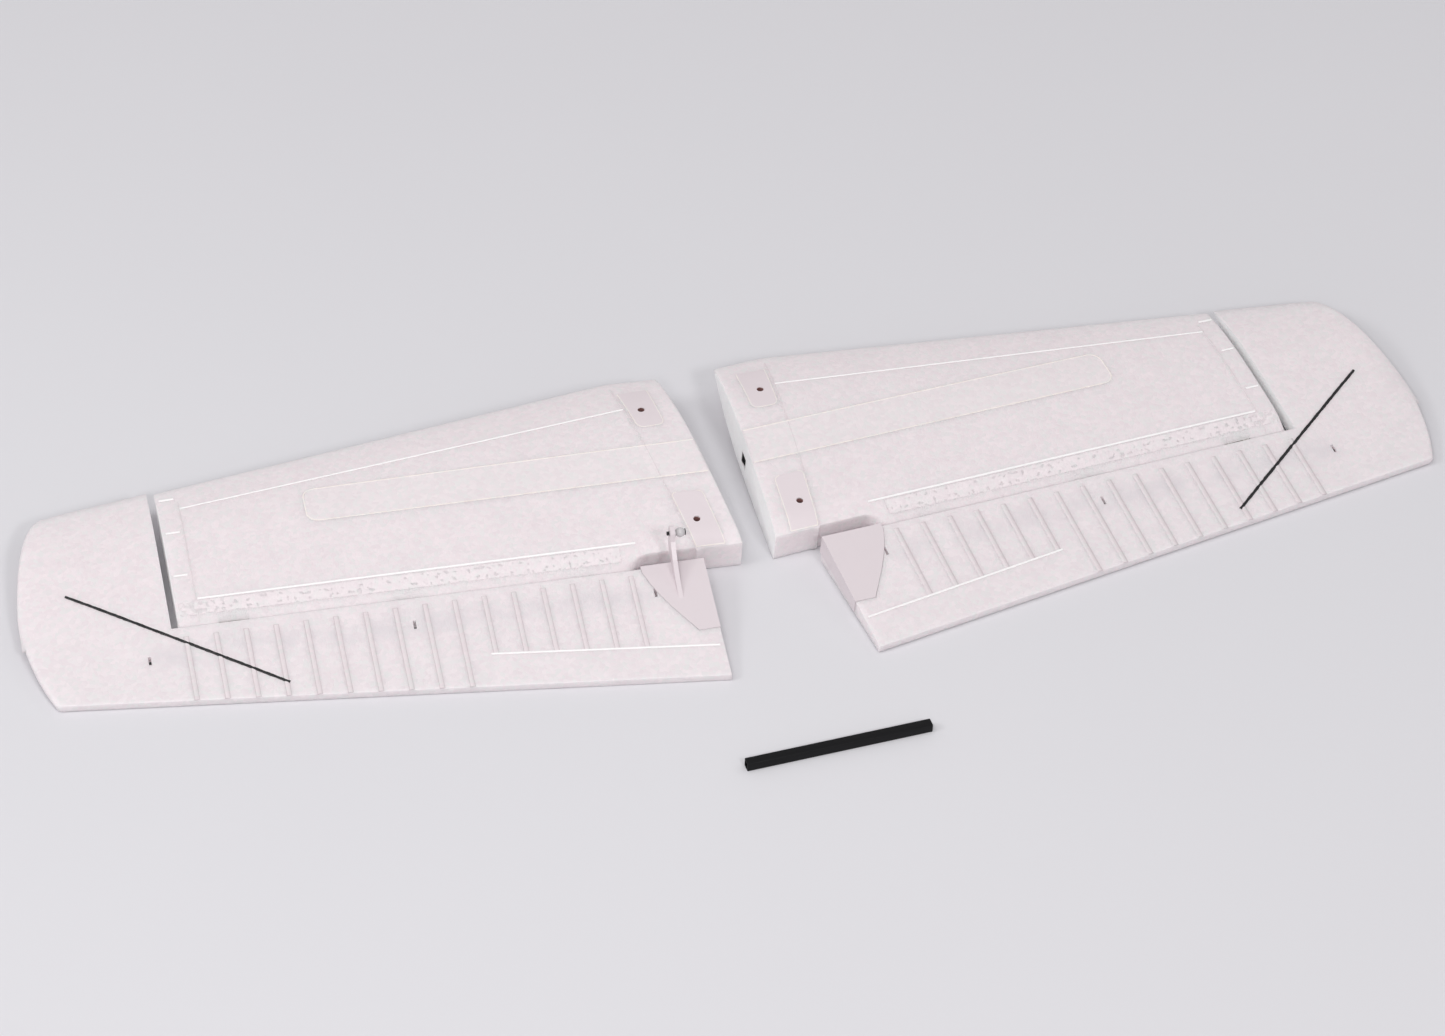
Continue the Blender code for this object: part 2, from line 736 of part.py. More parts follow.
def build_horn(half, cap):
    """The control horn arm is moulded on the cap; its ball stud points inboard."""
    blade = half.tool(prism(HORN_OUTLINE, 31.3, 33.3), "horn_blade", moving=True)
    boolean(cap, blade, "UNION")
    ball_u, ball_v, ball_w = BALL_AT
    drill = half.tool(
        rod((20.0, ball_v, ball_w), (40.0, ball_v, ball_w), 1.15, 16), "horn_hole", moving=True
    )
    boolean(cap, drill, "DIFFERENCE")
    bm = bmesh.new()
    profile = [(25.8, 0.0), (25.8, 1.1), (26.6, 1.5)]
    for k in range(1, 8):
        angle = math.radians(180.0 - 24.0 * k + 12.0)
        profile.append((ball_u + 2.3 * math.cos(angle), 2.3 * math.sin(angle)))
    profile += [(30.4, 0.95), (30.75, 0.95), (30.75, 1.9), (31.1, 1.9), (31.1, 0.95), (34.6, 0.95), (34.6, 0.0)]
    turned = [bm.verts.new((u, ball_v + r, ball_w)) for u, r in profile]
    edges = [bm.edges.new((a, b)) for a, b in zip(turned, turned[1:])]
    bmesh.ops.spin(
        bm, geom=turned + edges, cent=(0.0, ball_v, ball_w), axis=(1.0, 0.0, 0.0),
        angle=math.tau, steps=20, use_duplicate=False,
    )
    bmesh.ops.remove_doubles(bm, verts=bm.verts[:], dist=1e-4)
    half.piece(bm, "ball_stud", STEEL, 0.25, moving=True, smooth=35.0)


def build_joiner(parts, tools):
    half_len = JOINER_LENGTH * 0.5
    half_side = JOINER_SIDE * 0.5
    half_bore = JOINER_BORE * 0.5
    tube = finish(
        box(-half_len, half_len, -half_side, half_side, -half_side, half_side), "joiner_tube", parts, 1.0
    )
    set_material(tube, "joiner_tube", CARBON, 0.4)
    bore = finish(
        box(-half_len - 5.0, half_len + 5.0, -half_bore, half_bore, -half_bore, half_bore), "cut_joiner", tools, 1.0
    )
    bore.hide_render = True
    bore.display_type = "WIRE"
    place = Matrix.Translation((JOINER_AT[0] * MM, JOINER_AT[1] * MM, half_side * MM))
    turn = Matrix.Rotation(math.radians(JOINER_YAW), 4, "Z")
    tube.matrix_world = place @ turn
    bore.matrix_world = place @ turn
    boolean(tube, bore, "DIFFERENCE")


def main():
    for obj in list(bpy.data.objects):
        bpy.data.objects.remove(obj, do_unlink=True)
    parts = bpy.data.collections.new(SET_NAME)
    tools = bpy.data.collections.new(SET_NAME + "_tools")
    bpy.context.scene.collection.children.link(parts)
    bpy.context.scene.collection.children.link(tools)
    for name, side in (("right", 1.0), ("left", -1.0)):
        half = Half(name, side, parts, tools)
        build_stabiliser(half)
        cap = build_elevator(half)
        build_hinges(half)
        if name == "left":
            build_horn(half, cap)
    build_joiner(parts, tools)


main()
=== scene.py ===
"""Looks of the tailplane set: moulded bead foam skins, raised ribs and panel lines, plastic plates, carbon parts.

Every piece is drawn in its half's own frame, in millimetres (u outboard from the root, v forward from the hinge
line, w up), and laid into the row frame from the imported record. Both halves come from the same functions."""

import json
import math
import random

import bmesh
import bpy
from mathutils import Matrix, Vector, noise


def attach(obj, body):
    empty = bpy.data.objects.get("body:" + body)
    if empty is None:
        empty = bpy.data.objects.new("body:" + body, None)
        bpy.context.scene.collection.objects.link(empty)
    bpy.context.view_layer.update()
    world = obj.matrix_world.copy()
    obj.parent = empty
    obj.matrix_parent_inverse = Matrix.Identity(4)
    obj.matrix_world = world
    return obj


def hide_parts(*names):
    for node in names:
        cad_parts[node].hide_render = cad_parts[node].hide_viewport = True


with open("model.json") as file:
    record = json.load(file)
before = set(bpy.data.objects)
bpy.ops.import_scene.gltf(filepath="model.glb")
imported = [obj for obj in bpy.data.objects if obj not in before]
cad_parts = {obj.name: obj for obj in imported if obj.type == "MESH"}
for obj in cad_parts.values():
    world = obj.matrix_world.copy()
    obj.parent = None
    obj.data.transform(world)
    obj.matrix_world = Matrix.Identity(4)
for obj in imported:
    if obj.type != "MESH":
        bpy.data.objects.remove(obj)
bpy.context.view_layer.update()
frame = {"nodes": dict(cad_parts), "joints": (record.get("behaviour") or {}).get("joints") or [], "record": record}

MM = 0.001

# ---- plan outline, as in the CAD, mm
ROOT_SLANT = 0.15
BLOCK_REAR = 8.0
NOTCH_REAR = 8.5
NOTCH_IN = 20.6
LE_ROOT_V = 117.1
CUFF_U = 39.6
STAB_TIP_U = 244.8
LE_TIP_V = 81.5
HORN_U = 248.0
LE_SLOPE = (LE_TIP_V - LE_ROOT_V) / (244.6 - CUFF_U)
NOSE_APEX = 1.2
TE_IN = (18.6, -61.9)
TE_OUT = (299.2, -35.1)
TIP_U = 311.0
TIP_V = 14.0

# ---- heights, mm
TOP_ROOT = 9.8
TOP_TIP = 4.9
BELLY_EXTRA = 0.6
BELLY_RUN = 60.0
TE_HALF = 1.9
CREST = 0.45
HINGE_SHARE = 0.72
SHOULDER_V = 19.0
SHOULDER_LOW_V = 10.0

# ---- joint and sockets, mm
AXIS_V = 0.6
AXIS_U = 146.5
ELEV_FACE = -0.3
HINGE_US = (72.0, 146.5, 221.0)
DROOP_DEG = {"left": 0.35, "right": 0.0}
SOCKET_V = 61.8
SOCKET_W = -1.8
HOLE_R = 1.55
PLATE_HOLES = {"front": (28.2, 92.7), "rear": (17.4, 22.9)}
ROD_SLOTS = ((42.6, -13.9), (146.5, -14.8), (259.2, -16.6))

# ---- camera
CAMERA_TURN = 19.275
CAMERA_RISE = 41.65
CAMERA_ROLL = 3.0
CAMERA_DISTANCE = 2.410
CAMERA_LENS = 137.84
CAMERA_AIM = Vector((-0.00608, 0.03631, 0.00046))


# ------------------------------------------------------------------ section shapes, mm

def le_v(u):
    if u <= CUFF_U:
        return LE_ROOT_V
    return LE_ROOT_V + LE_SLOPE * (u - CUFF_U)


def te_v(u):
    share = (u - TE_IN[0]) / (TE_OUT[0] - TE_IN[0])
    return TE_IN[1] + share * (TE_OUT[1] - TE_IN[1])


def crest(u):
    return TOP_ROOT + (TOP_TIP - TOP_ROOT) * u / STAB_TIP_U


def belly(u):
    run = max(0.0, 1.0 - max(u, 0.0) / BELLY_RUN)
    return crest(u) + BELLY_EXTRA * run * run * (3.0 - 2.0 * run)


def shape(s):
    """Height of the section as a share of its crest; s runs from the leading edge to the hinge line."""
    s = min(max(s, 0.0), 1.0)
    if s < CREST:
        x = s / CREST
        wedge = 1.0 - (1.0 - x) ** 2.1
        round_nose = math.sqrt(1.0 - (1.0 - x) ** 2)
        return 0.78 * wedge + 0.22 * round_nose
    x = (s - CREST) / (1.0 - CREST)
    return 1.0 - (1.0 - HINGE_SHARE) * x * x


def stab_top(u, v):
    chord = le_v(u)
    if v >= SHOULDER_V:
        return crest(u) * shape((chord - v) / chord)
    x = min((SHOULDER_V - v) / (SHOULDER_V - NOSE_APEX), 1.0)
    return crest(u) * shape((chord - SHOULDER_V) / chord) * (1.0 - x * x) ** 0.8


def stab_bottom(u, v, rounded=True):
    chord = le_v(u)
    if v >= SHOULDER_LOW_V or not rounded:
        return -belly(u) * shape((chord - v) / chord)
    x = min((SHOULDER_LOW_V - v) / (SHOULDER_LOW_V - NOSE_APEX), 1.0)
    low = belly(u) * shape((chord - SHOULDER_LOW_V) / chord)
    return -low * math.sqrt(1.0 - x * x)


def tip_share(u):
    if u <= 296.0:
        return 1.0
    x = min((u - 296.0) / (TIP_U + 0.25 - 296.0), 1.0)
    return math.sqrt(1.0 - x * x)


def elev_half(u, v):
    if v < 0.0:
        s = min(v / te_v(u), 1.0)
        hinge = HINGE_SHARE * crest(u)
        return (TE_HALF + (hinge - TE_HALF) * (1.0 - s) ** 1.12) * tip_share(u)
    chord = le_v(u) + 0.4
    return crest(u) * shape((chord - v) / chord) * tip_share(u)


def rounded_tip(u, v):
    """The slanted rear of the tip is rounded over; share of the thickness left at (u, v)."""
    grown = min(max((u - 298.6) / 3.4, 0.0), 1.0)
    reach = min(max((v - tip_rear_v(u)) / 4.5, 0.0), 1.0)
    return 1.0 - grown + grown * math.sqrt(max(0.0, 1.0 - (1.0 - reach) ** 2))


def tip_front_v(u):
    if u <= 290.0:
        return le_v(u) + 0.9
    x = min((u - 290.0) / (TIP_U - 290.0), 1.0)
    return TIP_V + (74.0 - TIP_V) * (1.0 - x ** 2.75) ** 0.74


def tip_rear_v(u):
    if u <= 299.6:
        return te_v(u)
    x = min((u - 299.6) / (TIP_U - 299.6), 1.0)
    return TIP_V - (TIP_V + 35.1) * (1.0 - x ** 1.25) ** 0.6


# ------------------------------------------------------------------ the two halves

def mount(name):
    for entry in frame["record"]["mounts"]:
        if entry["name"] == name:
            return entry
    raise KeyError(name)


class Half:
    """Axes and origin of one half in the row frame, from its hinge and its screw seat."""

    def __init__(self, name, side):
        self.name = name
        self.side = side
        hinge = next(j for j in frame["joints"] if j["name"] == name + "_elevator_hinge")
        self.u = Vector(hinge["axis"]).normalized() * side
        up = Vector(mount(name + "_front_screw_seat")["axis"])
        self.w = (up - self.u * up.dot(self.u)).normalized()
        self.v = self.w.cross(self.u) * side
        self.origin = Vector(hinge["pos_m"]) - (self.u * AXIS_U + self.v * AXIS_V) * MM
        droop = math.radians(DROOP_DEG[name])
        self.cos = math.cos(droop)
        self.sin = math.sin(droop)
        self.body = name + "_half"
        self.flap = name + "_elevator"

    def place(self, point, moving):
        u, v, w = point
        if moving:
            from_axis = v - AXIS_V
            v = AXIS_V + from_axis * self.cos - w * self.sin
            w = w * self.cos + from_axis * self.sin
        return self.origin + (self.u * u + self.v * v + self.w * w) * MM


def add_object(bm, name, material, half=None, moving=False, angle=35.0):
    """A millimetre bmesh in a half's frame becomes an object in the row frame."""
    if half:
        for vert in bm.verts:
            vert.co = half.place(vert.co, moving)
    bmesh.ops.recalc_face_normals(bm, faces=bm.faces[:])
    if bm.calc_volume(signed=True) < 0.0:
        bmesh.ops.reverse_faces(bm, faces=bm.faces[:])
    mesh = bpy.data.meshes.new(name)
    bm.to_mesh(mesh)
    bm.free()
    mesh.shade_smooth()
    mesh.set_sharp_from_angle(angle=math.radians(angle))
    mesh.materials.append(material)
    obj = bpy.data.objects.new(name, mesh)
    bpy.context.scene.collection.objects.link(obj)
    return obj


def cut(obj, tools, angle=35.0):
    """Takes the tools out of the object and keeps the result as its mesh."""
    for tool in tools:
        modifier = obj.modifiers.new("Cut", "BOOLEAN")
        modifier.operation = "DIFFERENCE"
        modifier.solver = "EXACT"
        modifier.object = tool
    bpy.context.view_layer.update()
    graph = bpy.context.evaluated_depsgraph_get()
    mesh = bpy.data.meshes.new_from_object(obj.evaluated_get(graph))
    obj.modifiers.clear()
    obj.data = mesh
    mesh.shade_smooth()
    mesh.set_sharp_from_angle(angle=math.radians(angle))
    for tool in tools:
        bpy.data.objects.remove(tool)


# ------------------------------------------------------------------ mesh builders, mm

def loft(rings):
    bm = bmesh.new()
    rows = []
    for ring in rings:
        row = []
        for j, point in enumerate(ring):
            before = rows[-1][j] if rows else None
            if before is not None and (before.co - Vector(point)).length < 1e-4:
                row.append(before)
            else:
                row.append(bm.verts.new(point))
        rows.append(row)
    count = len(rings[0])
    for a, b in zip(rows, rows[1:]):
        for j in range(count):
            k = (j + 1) % count
            corners = []
            for vert in (a[j], a[k], b[k], b[j]):
                if vert not in corners:
                    corners.append(vert)
            if len(corners) > 2:
                bm.faces.new(corners)
    bm.faces.new(rows[0])
    bm.faces.new(rows[-1])
    return bm


def box(u0, u1, v0, v1, w0, w1):
    bm = bmesh.new()
    made = bmesh.ops.create_cube(bm, size=1.0)
    for vert in made["verts"]:
        vert.co = Vector((
            u0 + (vert.co.x + 0.5) * (u1 - u0),
            v0 + (vert.co.y + 0.5) * (v1 - v0),
            w0 + (vert.co.z + 0.5) * (w1 - w0),
        ))
    return bm


def prism(outline, u0, u1):
    bm = bmesh.new()
    near = [bm.verts.new((u0, v, w)) for v, w in outline]
    far = [bm.verts.new((u1, v, w)) for v, w in outline]
    bm.faces.new(near)
    bm.faces.new(far)
    for i in range(len(outline)):
        k = (i + 1) % len(outline)
        bm.faces.new((near[i], near[k], far[k], far[i]))
    return bm


def rod(start, end, radius, sides):
    bm = bmesh.new()
    a = Vector(start)
    b = Vector(end)
    made = bmesh.ops.create_cone(
        bm, cap_ends=True, segments=sides, radius1=radius, radius2=radius, depth=(b - a).length
    )
    turn = Vector((0.0, 0.0, 1.0)).rotation_difference(b - a).to_matrix()
    for vert in made["verts"]:
        vert.co = turn @ vert.co + (a + b) * 0.5
    return bm


def tool(bm, half, moving=False):
    return add_object(bm, "tool", cutter_material, half, moving)


def join(target, bm):
    """Adds bm's geometry to target."""
    made = {}
    for vert in bm.verts:
        made[vert] = target.verts.new(vert.co)
    for face in bm.faces:
        target.faces.new([made[vert] for vert in face.verts])
    bm.free()


def trail(target, points, width, height, surface, step=4.0, sunk=0.35):
    """A raised line over a surface: a low rounded bar through plan points."""
    profile = ((-0.5, -sunk), (-0.5, 0.1 * height), (-0.42, 0.62 * height), (-0.2, 0.95 * height),
               (0.2, 0.95 * height), (0.42, 0.62 * height), (0.5, 0.1 * height), (0.5, -sunk))
    points = [Vector(point) for point in points]
    dense = []
    for a, b in zip(points, points[1:]):
        count = max(1, int((b - a).length / step))
        dense += [a + (b - a) * (i / count) for i in range(count)]
    dense.append(points[-1])
    rings = []
    for i, centre in enumerate(dense):
        ahead = dense[min(i + 1, len(dense) - 1)] - dense[max(i - 1, 0)]
        aside = ahead.normalized().orthogonal()
        ring = []
        for across, rise in profile:
            at = centre + aside * (across * width)
            ring.append((at.x, at.y, surface(at.x, at.y) + rise))
        rings.append(ring)
    join(target, loft(rings))


def bead(target, start, end, width, height, surface):
    trail(target, (start, end), width, height, surface)


def rounded_edges(edge_a, edge_b, corners, steps=5):
    """Rows of a four-sided patch between edge_a and edge_b, (start, end) each, with rounded corners where asked:
    corners holds the radii at the start's and the end's side."""
    a0, a1 = (Vector(p) for p in edge_a)
    b0, b1 = (Vector(p) for p in edge_b)
    length = ((a1 - a0).length + (b1 - b0).length) * 0.5
    near, far = corners
    places = {0.0, 1.0}
    for radius, flip in ((near, False), (far, True)):
        for k in range(steps + 1):
            d = radius * (1.0 - math.cos(math.pi * 0.5 * k / steps)) / length
            places.add(1.0 - d if flip else d)
    count = max(2, int(length / 3.0))
    for k in range(count + 1):
        t = k / count
        if near / length < t < 1.0 - far / length:
            places.add(t)
    rows = []
    for t in sorted(places):
        pa = a0 + (a1 - a0) * t
        pb = b0 + (b1 - b0) * t
        pull = 0.0
        for radius, d in ((near, t * length), (far, (1.0 - t) * length)):
            if radius > 0.0 and d < radius:
                pull = max(pull, radius - math.sqrt(max(0.0, radius * radius - (radius - d) ** 2)))
        along = (pb - pa).normalized() * pull
        rows.append((pa + along, pb - along))
    return rows


def pad(rows, across, surface, rise, depth, ease=0.0):
    """A thin plate lying in a surface; its rim is eased down by ease."""
    bm = bmesh.new()
    grid = []
    for pa, pb in rows:
        line = []
        for k in range(across + 1):
            at = pa + (pb - pa) * (k / across)
            low = bm.verts.new((at.x, at.y, surface(at.x, at.y) - depth))
            line.append((bm.verts.new((at.x, at.y, surface(at.x, at.y) + rise)), low))
        grid.append(line)
    count = len(grid)
    for i in range(count - 1):
        for k in range(across):
            for layer in (0, 1):
                bm.faces.new((
                    grid[i][k][layer], grid[i][k + 1][layer], grid[i + 1][k + 1][layer], grid[i + 1][k][layer],
                ))
    rim = [grid[0][k] for k in range(across + 1)]
    rim += [grid[i][across] for i in range(1, count)]
    rim += [grid[count - 1][k] for k in range(across - 1, -1, -1)]
    rim += [grid[i][0] for i in range(count - 2, 0, -1)]
    top_rim = []
    for i, here in enumerate(rim):
        there = rim[(i + 1) % len(rim)]
        bm.faces.new((here[0], there[0], there[1], here[1]))
        top_rim.append((here[0], there[0]))
    if ease > 0.0:
        edges = [edge for edge in (bm.edges.get(pair) for pair in top_rim) if edge]
        bmesh.ops.bevel(bm, geom=edges, offset=ease, segments=2, affect="EDGES", profile=0.6)
    return bm


def spread(low, high, step):
    count = max(1, int(round((high - low) / step)))
    return [low + (high - low) * k / count for k in range(count + 1)]


# ------------------------------------------------------------------ materials

def new_material(name):
    material = bpy.data.materials.new(name)
    material.use_nodes = True
    tree = material.node_tree
    return material, tree, tree.nodes["Principled BSDF"]


def node(tree, kind, **inputs):
    made = tree.nodes.new(kind)
    for key, value in inputs.items():
        made.inputs[key.replace("_", " ")].default_value = value
    return made


def mix_colour(tree, factor, colour_a, colour_b):
    made = tree.nodes.new("ShaderNodeMix")
    made.data_type = "RGBA"
    for socket, value in ((0, factor), (6, colour_a), (7, colour_b)):
        if isinstance(value, bpy.types.NodeSocket):
            tree.links.new(value, made.inputs[socket])
        else:
            made.inputs[socket].default_value = value
    return made.outputs[2]


def ramp(tree, source, low, high, value_low=0.0, value_high=1.0):
    made = tree.nodes.new("ShaderNodeMapRange")
    made.inputs["From Min"].default_value = low
    made.inputs["From Max"].default_value = high
    made.inputs["To Min"].default_value = value_low
    made.inputs["To Max"].default_value = value_high
    tree.links.new(source, made.inputs["Value"])
    return made.outputs["Result"]


def foam_material(name, light, shade, bump=0.16, tinge=None, deep=0.0):
    """Moulded bead foam: beads about two millimetres across, pressed flat, each a shade lighter, greyer or pinker
    than the next, with fine dimples where they meet."""
    material, tree, shader = new_material(name)
    coords = tree.nodes.new("ShaderNodeTexCoord")
    beads = node(tree, "ShaderNodeTexVoronoi", Scale=520.0, Randomness=1.0)
    walls = node(tree, "ShaderNodeTexVoronoi", Scale=520.0, Randomness=1.0)
    walls.feature = "DISTANCE_TO_EDGE"
    broad = node(tree, "ShaderNodeTexNoise", Scale=70.0, Detail=3.0, Roughness=0.55)
    fine = node(tree, "ShaderNodeTexNoise", Scale=1500.0, Detail=2.0, Roughness=0.5)
    for texture in (beads, walls, broad, fine):
        tree.links.new(coords.outputs["Object"], texture.inputs["Vector"])
    per_bead = tree.nodes.new("ShaderNodeSeparateColor")
    tree.links.new(beads.outputs["Color"], per_bead.inputs["Color"])
    total = tree.nodes.new("ShaderNodeMath")
    total.operation = "ADD"
    tree.links.new(ramp(tree, per_bead.outputs["Red"], 0.0, 1.0, 0.0, 0.75), total.inputs[0])
    tree.links.new(ramp(tree, broad.outputs["Fac"], 0.35, 0.7, 0.0, 0.3), total.inputs[1])
    colour = mix_colour(tree, total.outputs[0], light, shade)
    grey = sum(shade[:3]) / 3.0 + 0.01
    greyness = ramp(tree, per_bead.outputs["Green"], 0.45, 1.0, 0.0, 0.55)
    colour = mix_colour(tree, greyness, colour, (grey, grey + 0.01, grey, 1.0))
    if tinge:
        mask = tree.nodes.new("ShaderNodeAttribute")
        mask.attribute_name = "tinge"
        patchy = ramp(tree, broad.outputs["Fac"], 0.38, 0.62, 0.0, 1.0)
        strength = tree.nodes.new("ShaderNodeMath")
        strength.operation = "MULTIPLY"
        tree.links.new(mask.outputs["Fac"], strength.inputs[0])
        tree.links.new(patchy, strength.inputs[1])
        colour = mix_colour(tree, strength.outputs[0], colour, tinge)
    tree.links.new(colour, shader.inputs["Base Color"])
    rough = ramp(tree, fine.outputs["Fac"], 0.3, 0.7, 0.5, 0.66)
    tree.links.new(rough, shader.inputs["Roughness"])
    groove = ramp(tree, walls.outputs["Distance"], 0.0, 0.22, 0.0, 1.0)
    height = tree.nodes.new("ShaderNodeMath")
    height.operation = "MULTIPLY_ADD"
    height.inputs[1].default_value = 0.5
    tree.links.new(fine.outputs["Fac"], height.inputs[0])
    tree.links.new(groove, height.inputs[2])
    relief = node(tree, "ShaderNodeBump", Strength=bump, Distance=0.0003)
    tree.links.new(height.outputs[0], relief.inputs["Height"])
    tree.links.new(relief.outputs["Normal"], shader.inputs["Normal"])
    shader.inputs["Specular IOR Level"].default_value = 0.35
    shader.inputs["Subsurface Weight"].default_value = deep
    shader.inputs["Subsurface Radius"].default_value = (1.0, 0.9, 0.9)
    shader.inputs["Subsurface Scale"].default_value = 0.007
    return material


def plastic_material(name, light, shade, rough=0.42):
    """Smooth moulded plastic with a faint satin grain."""
    material, tree, shader = new_material(name)
    coords = tree.nodes.new("ShaderNodeTexCoord")
    broad = node(tree, "ShaderNodeTexNoise", Scale=60.0, Detail=3.0)
    grain = node(tree, "ShaderNodeTexNoise", Scale=2600.0, Detail=2.0)
    for texture in (broad, grain):
        tree.links.new(coords.outputs["Object"], texture.inputs["Vector"])
    tree.links.new(mix_colour(tree, broad.outputs["Fac"], light, shade), shader.inputs["Base Color"])
    tree.links.new(ramp(tree, grain.outputs["Fac"], 0.3, 0.7, rough - 0.05, rough + 0.08), shader.inputs["Roughness"])
    relief = node(tree, "ShaderNodeBump", Strength=0.06, Distance=0.0001)
    tree.links.new(grain.outputs["Fac"], relief.inputs["Height"])
    tree.links.new(relief.outputs["Normal"], shader.inputs["Normal"])
    return material


def carbon_material(name, light=(0.022, 0.022, 0.024, 1.0), stretch=(60.0, 900.0, 900.0), turn=0.0):
    """Pultruded carbon: near black, with fine streaks along the fibres."""
    material, tree, shader = new_material(name)
    coords = tree.nodes.new("ShaderNodeTexCoord")
    mapping = tree.nodes.new("ShaderNodeMapping")
    mapping.inputs["Scale"].default_value = stretch
    mapping.inputs["Rotation"].default_value = (0.0, 0.0, turn)
    fibres = node(tree, "ShaderNodeTexNoise", Scale=1.0, Detail=5.0, Roughness=0.65)
    tree.links.new(coords.outputs["Object"], mapping.inputs["Vector"])
    tree.links.new(mapping.outputs["Vector"], fibres.inputs["Vector"])
    tree.links.new(
        mix_colour(tree, fibres.outputs["Fac"], (0.008, 0.008, 0.009, 1.0), light), shader.inputs["Base Color"]
    )
    tree.links.new(ramp(tree, fibres.outputs["Fac"], 0.3, 0.7, 0.34, 0.56), shader.inputs["Roughness"])
    relief = node(tree, "ShaderNodeBump", Strength=0.2, Distance=0.0001)
    tree.links.new(fibres.outputs["Fac"], relief.inputs["Height"])
    tree.links.new(relief.outputs["Normal"], shader.inputs["Normal"])
    return material


def steel_material(name):
    material, tree, shader = new_material(name)
    coords = tree.nodes.new("ShaderNodeTexCoord")
    wear = node(tree, "ShaderNodeTexNoise", Scale=700.0, Detail=4.0)
    tree.links.new(coords.outputs["Object"], wear.inputs["Vector"])
    tree.links.new(
        mix_colour(tree, wear.outputs["Fac"], (0.50, 0.49, 0.49, 1.0), (0.68, 0.68, 0.69, 1.0)),
        shader.inputs["Base Color"],
    )
    tree.links.new(ramp(tree, wear.outputs["Fac"], 0.3, 0.7, 0.2, 0.36), shader.inputs["Roughness"])
    shader.inputs["Metallic"].default_value = 1.0
    return material


def table_material():
    material, tree, shader = new_material("table_paper")
    coords = tree.nodes.new("ShaderNodeTexCoord")
    broad = node(tree, "ShaderNodeTexNoise", Scale=3.0, Detail=2.0)
    tree.links.new(coords.outputs["Object"], broad.inputs["Vector"])
    tree.links.new(
        mix_colour(tree, broad.outputs["Fac"], (0.712, 0.705, 0.732, 1.0), (0.737, 0.730, 0.756, 1.0)),
        shader.inputs["Base Color"],
    )
    shader.inputs["Roughness"].default_value = 0.55
    shader.inputs["Specular IOR Level"].default_value = 0.2
    return material


FOAM_LIGHT = (0.86, 0.785, 0.805, 1.0)
FOAM_SHADE = (0.79, 0.715, 0.74, 1.0)
# painted shade: dark red-brown for the walls of the screw holes
HOLE_SHADE = (0.30, 0.15, 0.14, 1.0)
cutter_material = bpy.data.materials.new("cutter")
foam = foam_material("bead_foam", FOAM_LIGHT, FOAM_SHADE, deep=0.45)
flap_foam = foam_material("bead_foam_elevator", FOAM_LIGHT, FOAM_SHADE, tinge=(0.74, 0.69, 0.715, 1.0), deep=0.45)
# painted highlight: near-white foam colour for the raised ridges, standing in for the glint along their crests
ridge_highlight_foam = foam_material("ridge_painted_highlight_skin", (0.98, 0.965, 0.965, 1.0), (0.95, 0.93, 0.93, 1.0), bump=0.03)
# painted light: a lighter, more neutral foam colour for end faces and walls that would otherwise render darker
painted_light_foam = foam_material("foam_painted_light", (0.97, 0.955, 0.96, 1.0), (0.93, 0.915, 0.92, 1.0), bump=0.1, deep=0.3)
band_foam = foam_material("band_skin", FOAM_LIGHT, FOAM_SHADE)
seam_foam = foam_material("seam_skin", (0.93, 0.87, 0.83, 1.0), (0.86, 0.79, 0.75, 1.0), bump=0.05)
rib_foam = foam_material("rib_skin", (0.79, 0.715, 0.735, 1.0), (0.74, 0.665, 0.685, 1.0), bump=0.08)
strip_foam = foam_material("strip_skin", (0.855, 0.785, 0.80, 1.0), (0.79, 0.72, 0.74, 1.0), bump=0.1)
plate_plastic = plastic_material("plate_plastic", (0.79, 0.71, 0.735, 1.0), (0.755, 0.68, 0.705, 1.0))
cap_plastic = plastic_material("cap_plastic", (0.75, 0.675, 0.70, 1.0), (0.72, 0.65, 0.675, 1.0), 0.36)
# painted shade: the material of the dark tubes inside the screw holes
hole_painted_shade = plastic_material("hole_painted_shade", HOLE_SHADE, (0.22, 0.11, 0.10, 1.0), 0.6)
# painted shadow: darker foam colour for the low bars that outline the ribs
rib_shadow_foam = foam_material("rib_painted_shadow_skin", (0.66, 0.585, 0.605, 1.0), (0.62, 0.55, 0.57, 1.0), bump=0.05)
ball_steel = plastic_material("polished_ball", (0.62, 0.60, 0.61, 1.0), (0.54, 0.52, 0.53, 1.0), 0.2)
stud_dark = plastic_material("stud_end_dark", (0.03, 0.028, 0.03, 1.0), (0.05, 0.045, 0.05, 1.0), 0.35)
nylon = plastic_material("hinge_nylon", (0.80, 0.78, 0.74, 1.0), (0.74, 0.72, 0.68, 1.0), 0.4)
carbon = carbon_material("carbon_bar")
tube_carbon = carbon_material("carbon_tube", (0.008, 0.008, 0.0085, 1.0))
tube_carbon.node_tree.nodes["Principled BSDF"].inputs["Specular IOR Level"].default_value = 0.14
brace_carbon = carbon_material("carbon_braid", (0.008, 0.008, 0.0085, 1.0), (700.0, 700.0, 700.0))
steel = steel_material("turned_steel")
table = table_material()


# ------------------------------------------------------------------ stabiliser

NOSE_VS = (8.0, 6.6, 5.2, 4.0, 2.9, 2.0, NOSE_APEX, 1.7, 2.6, 4.0, 5.2, 6.6, 8.0)
EDGE_R = 0.6
TOP_COUNT = 44


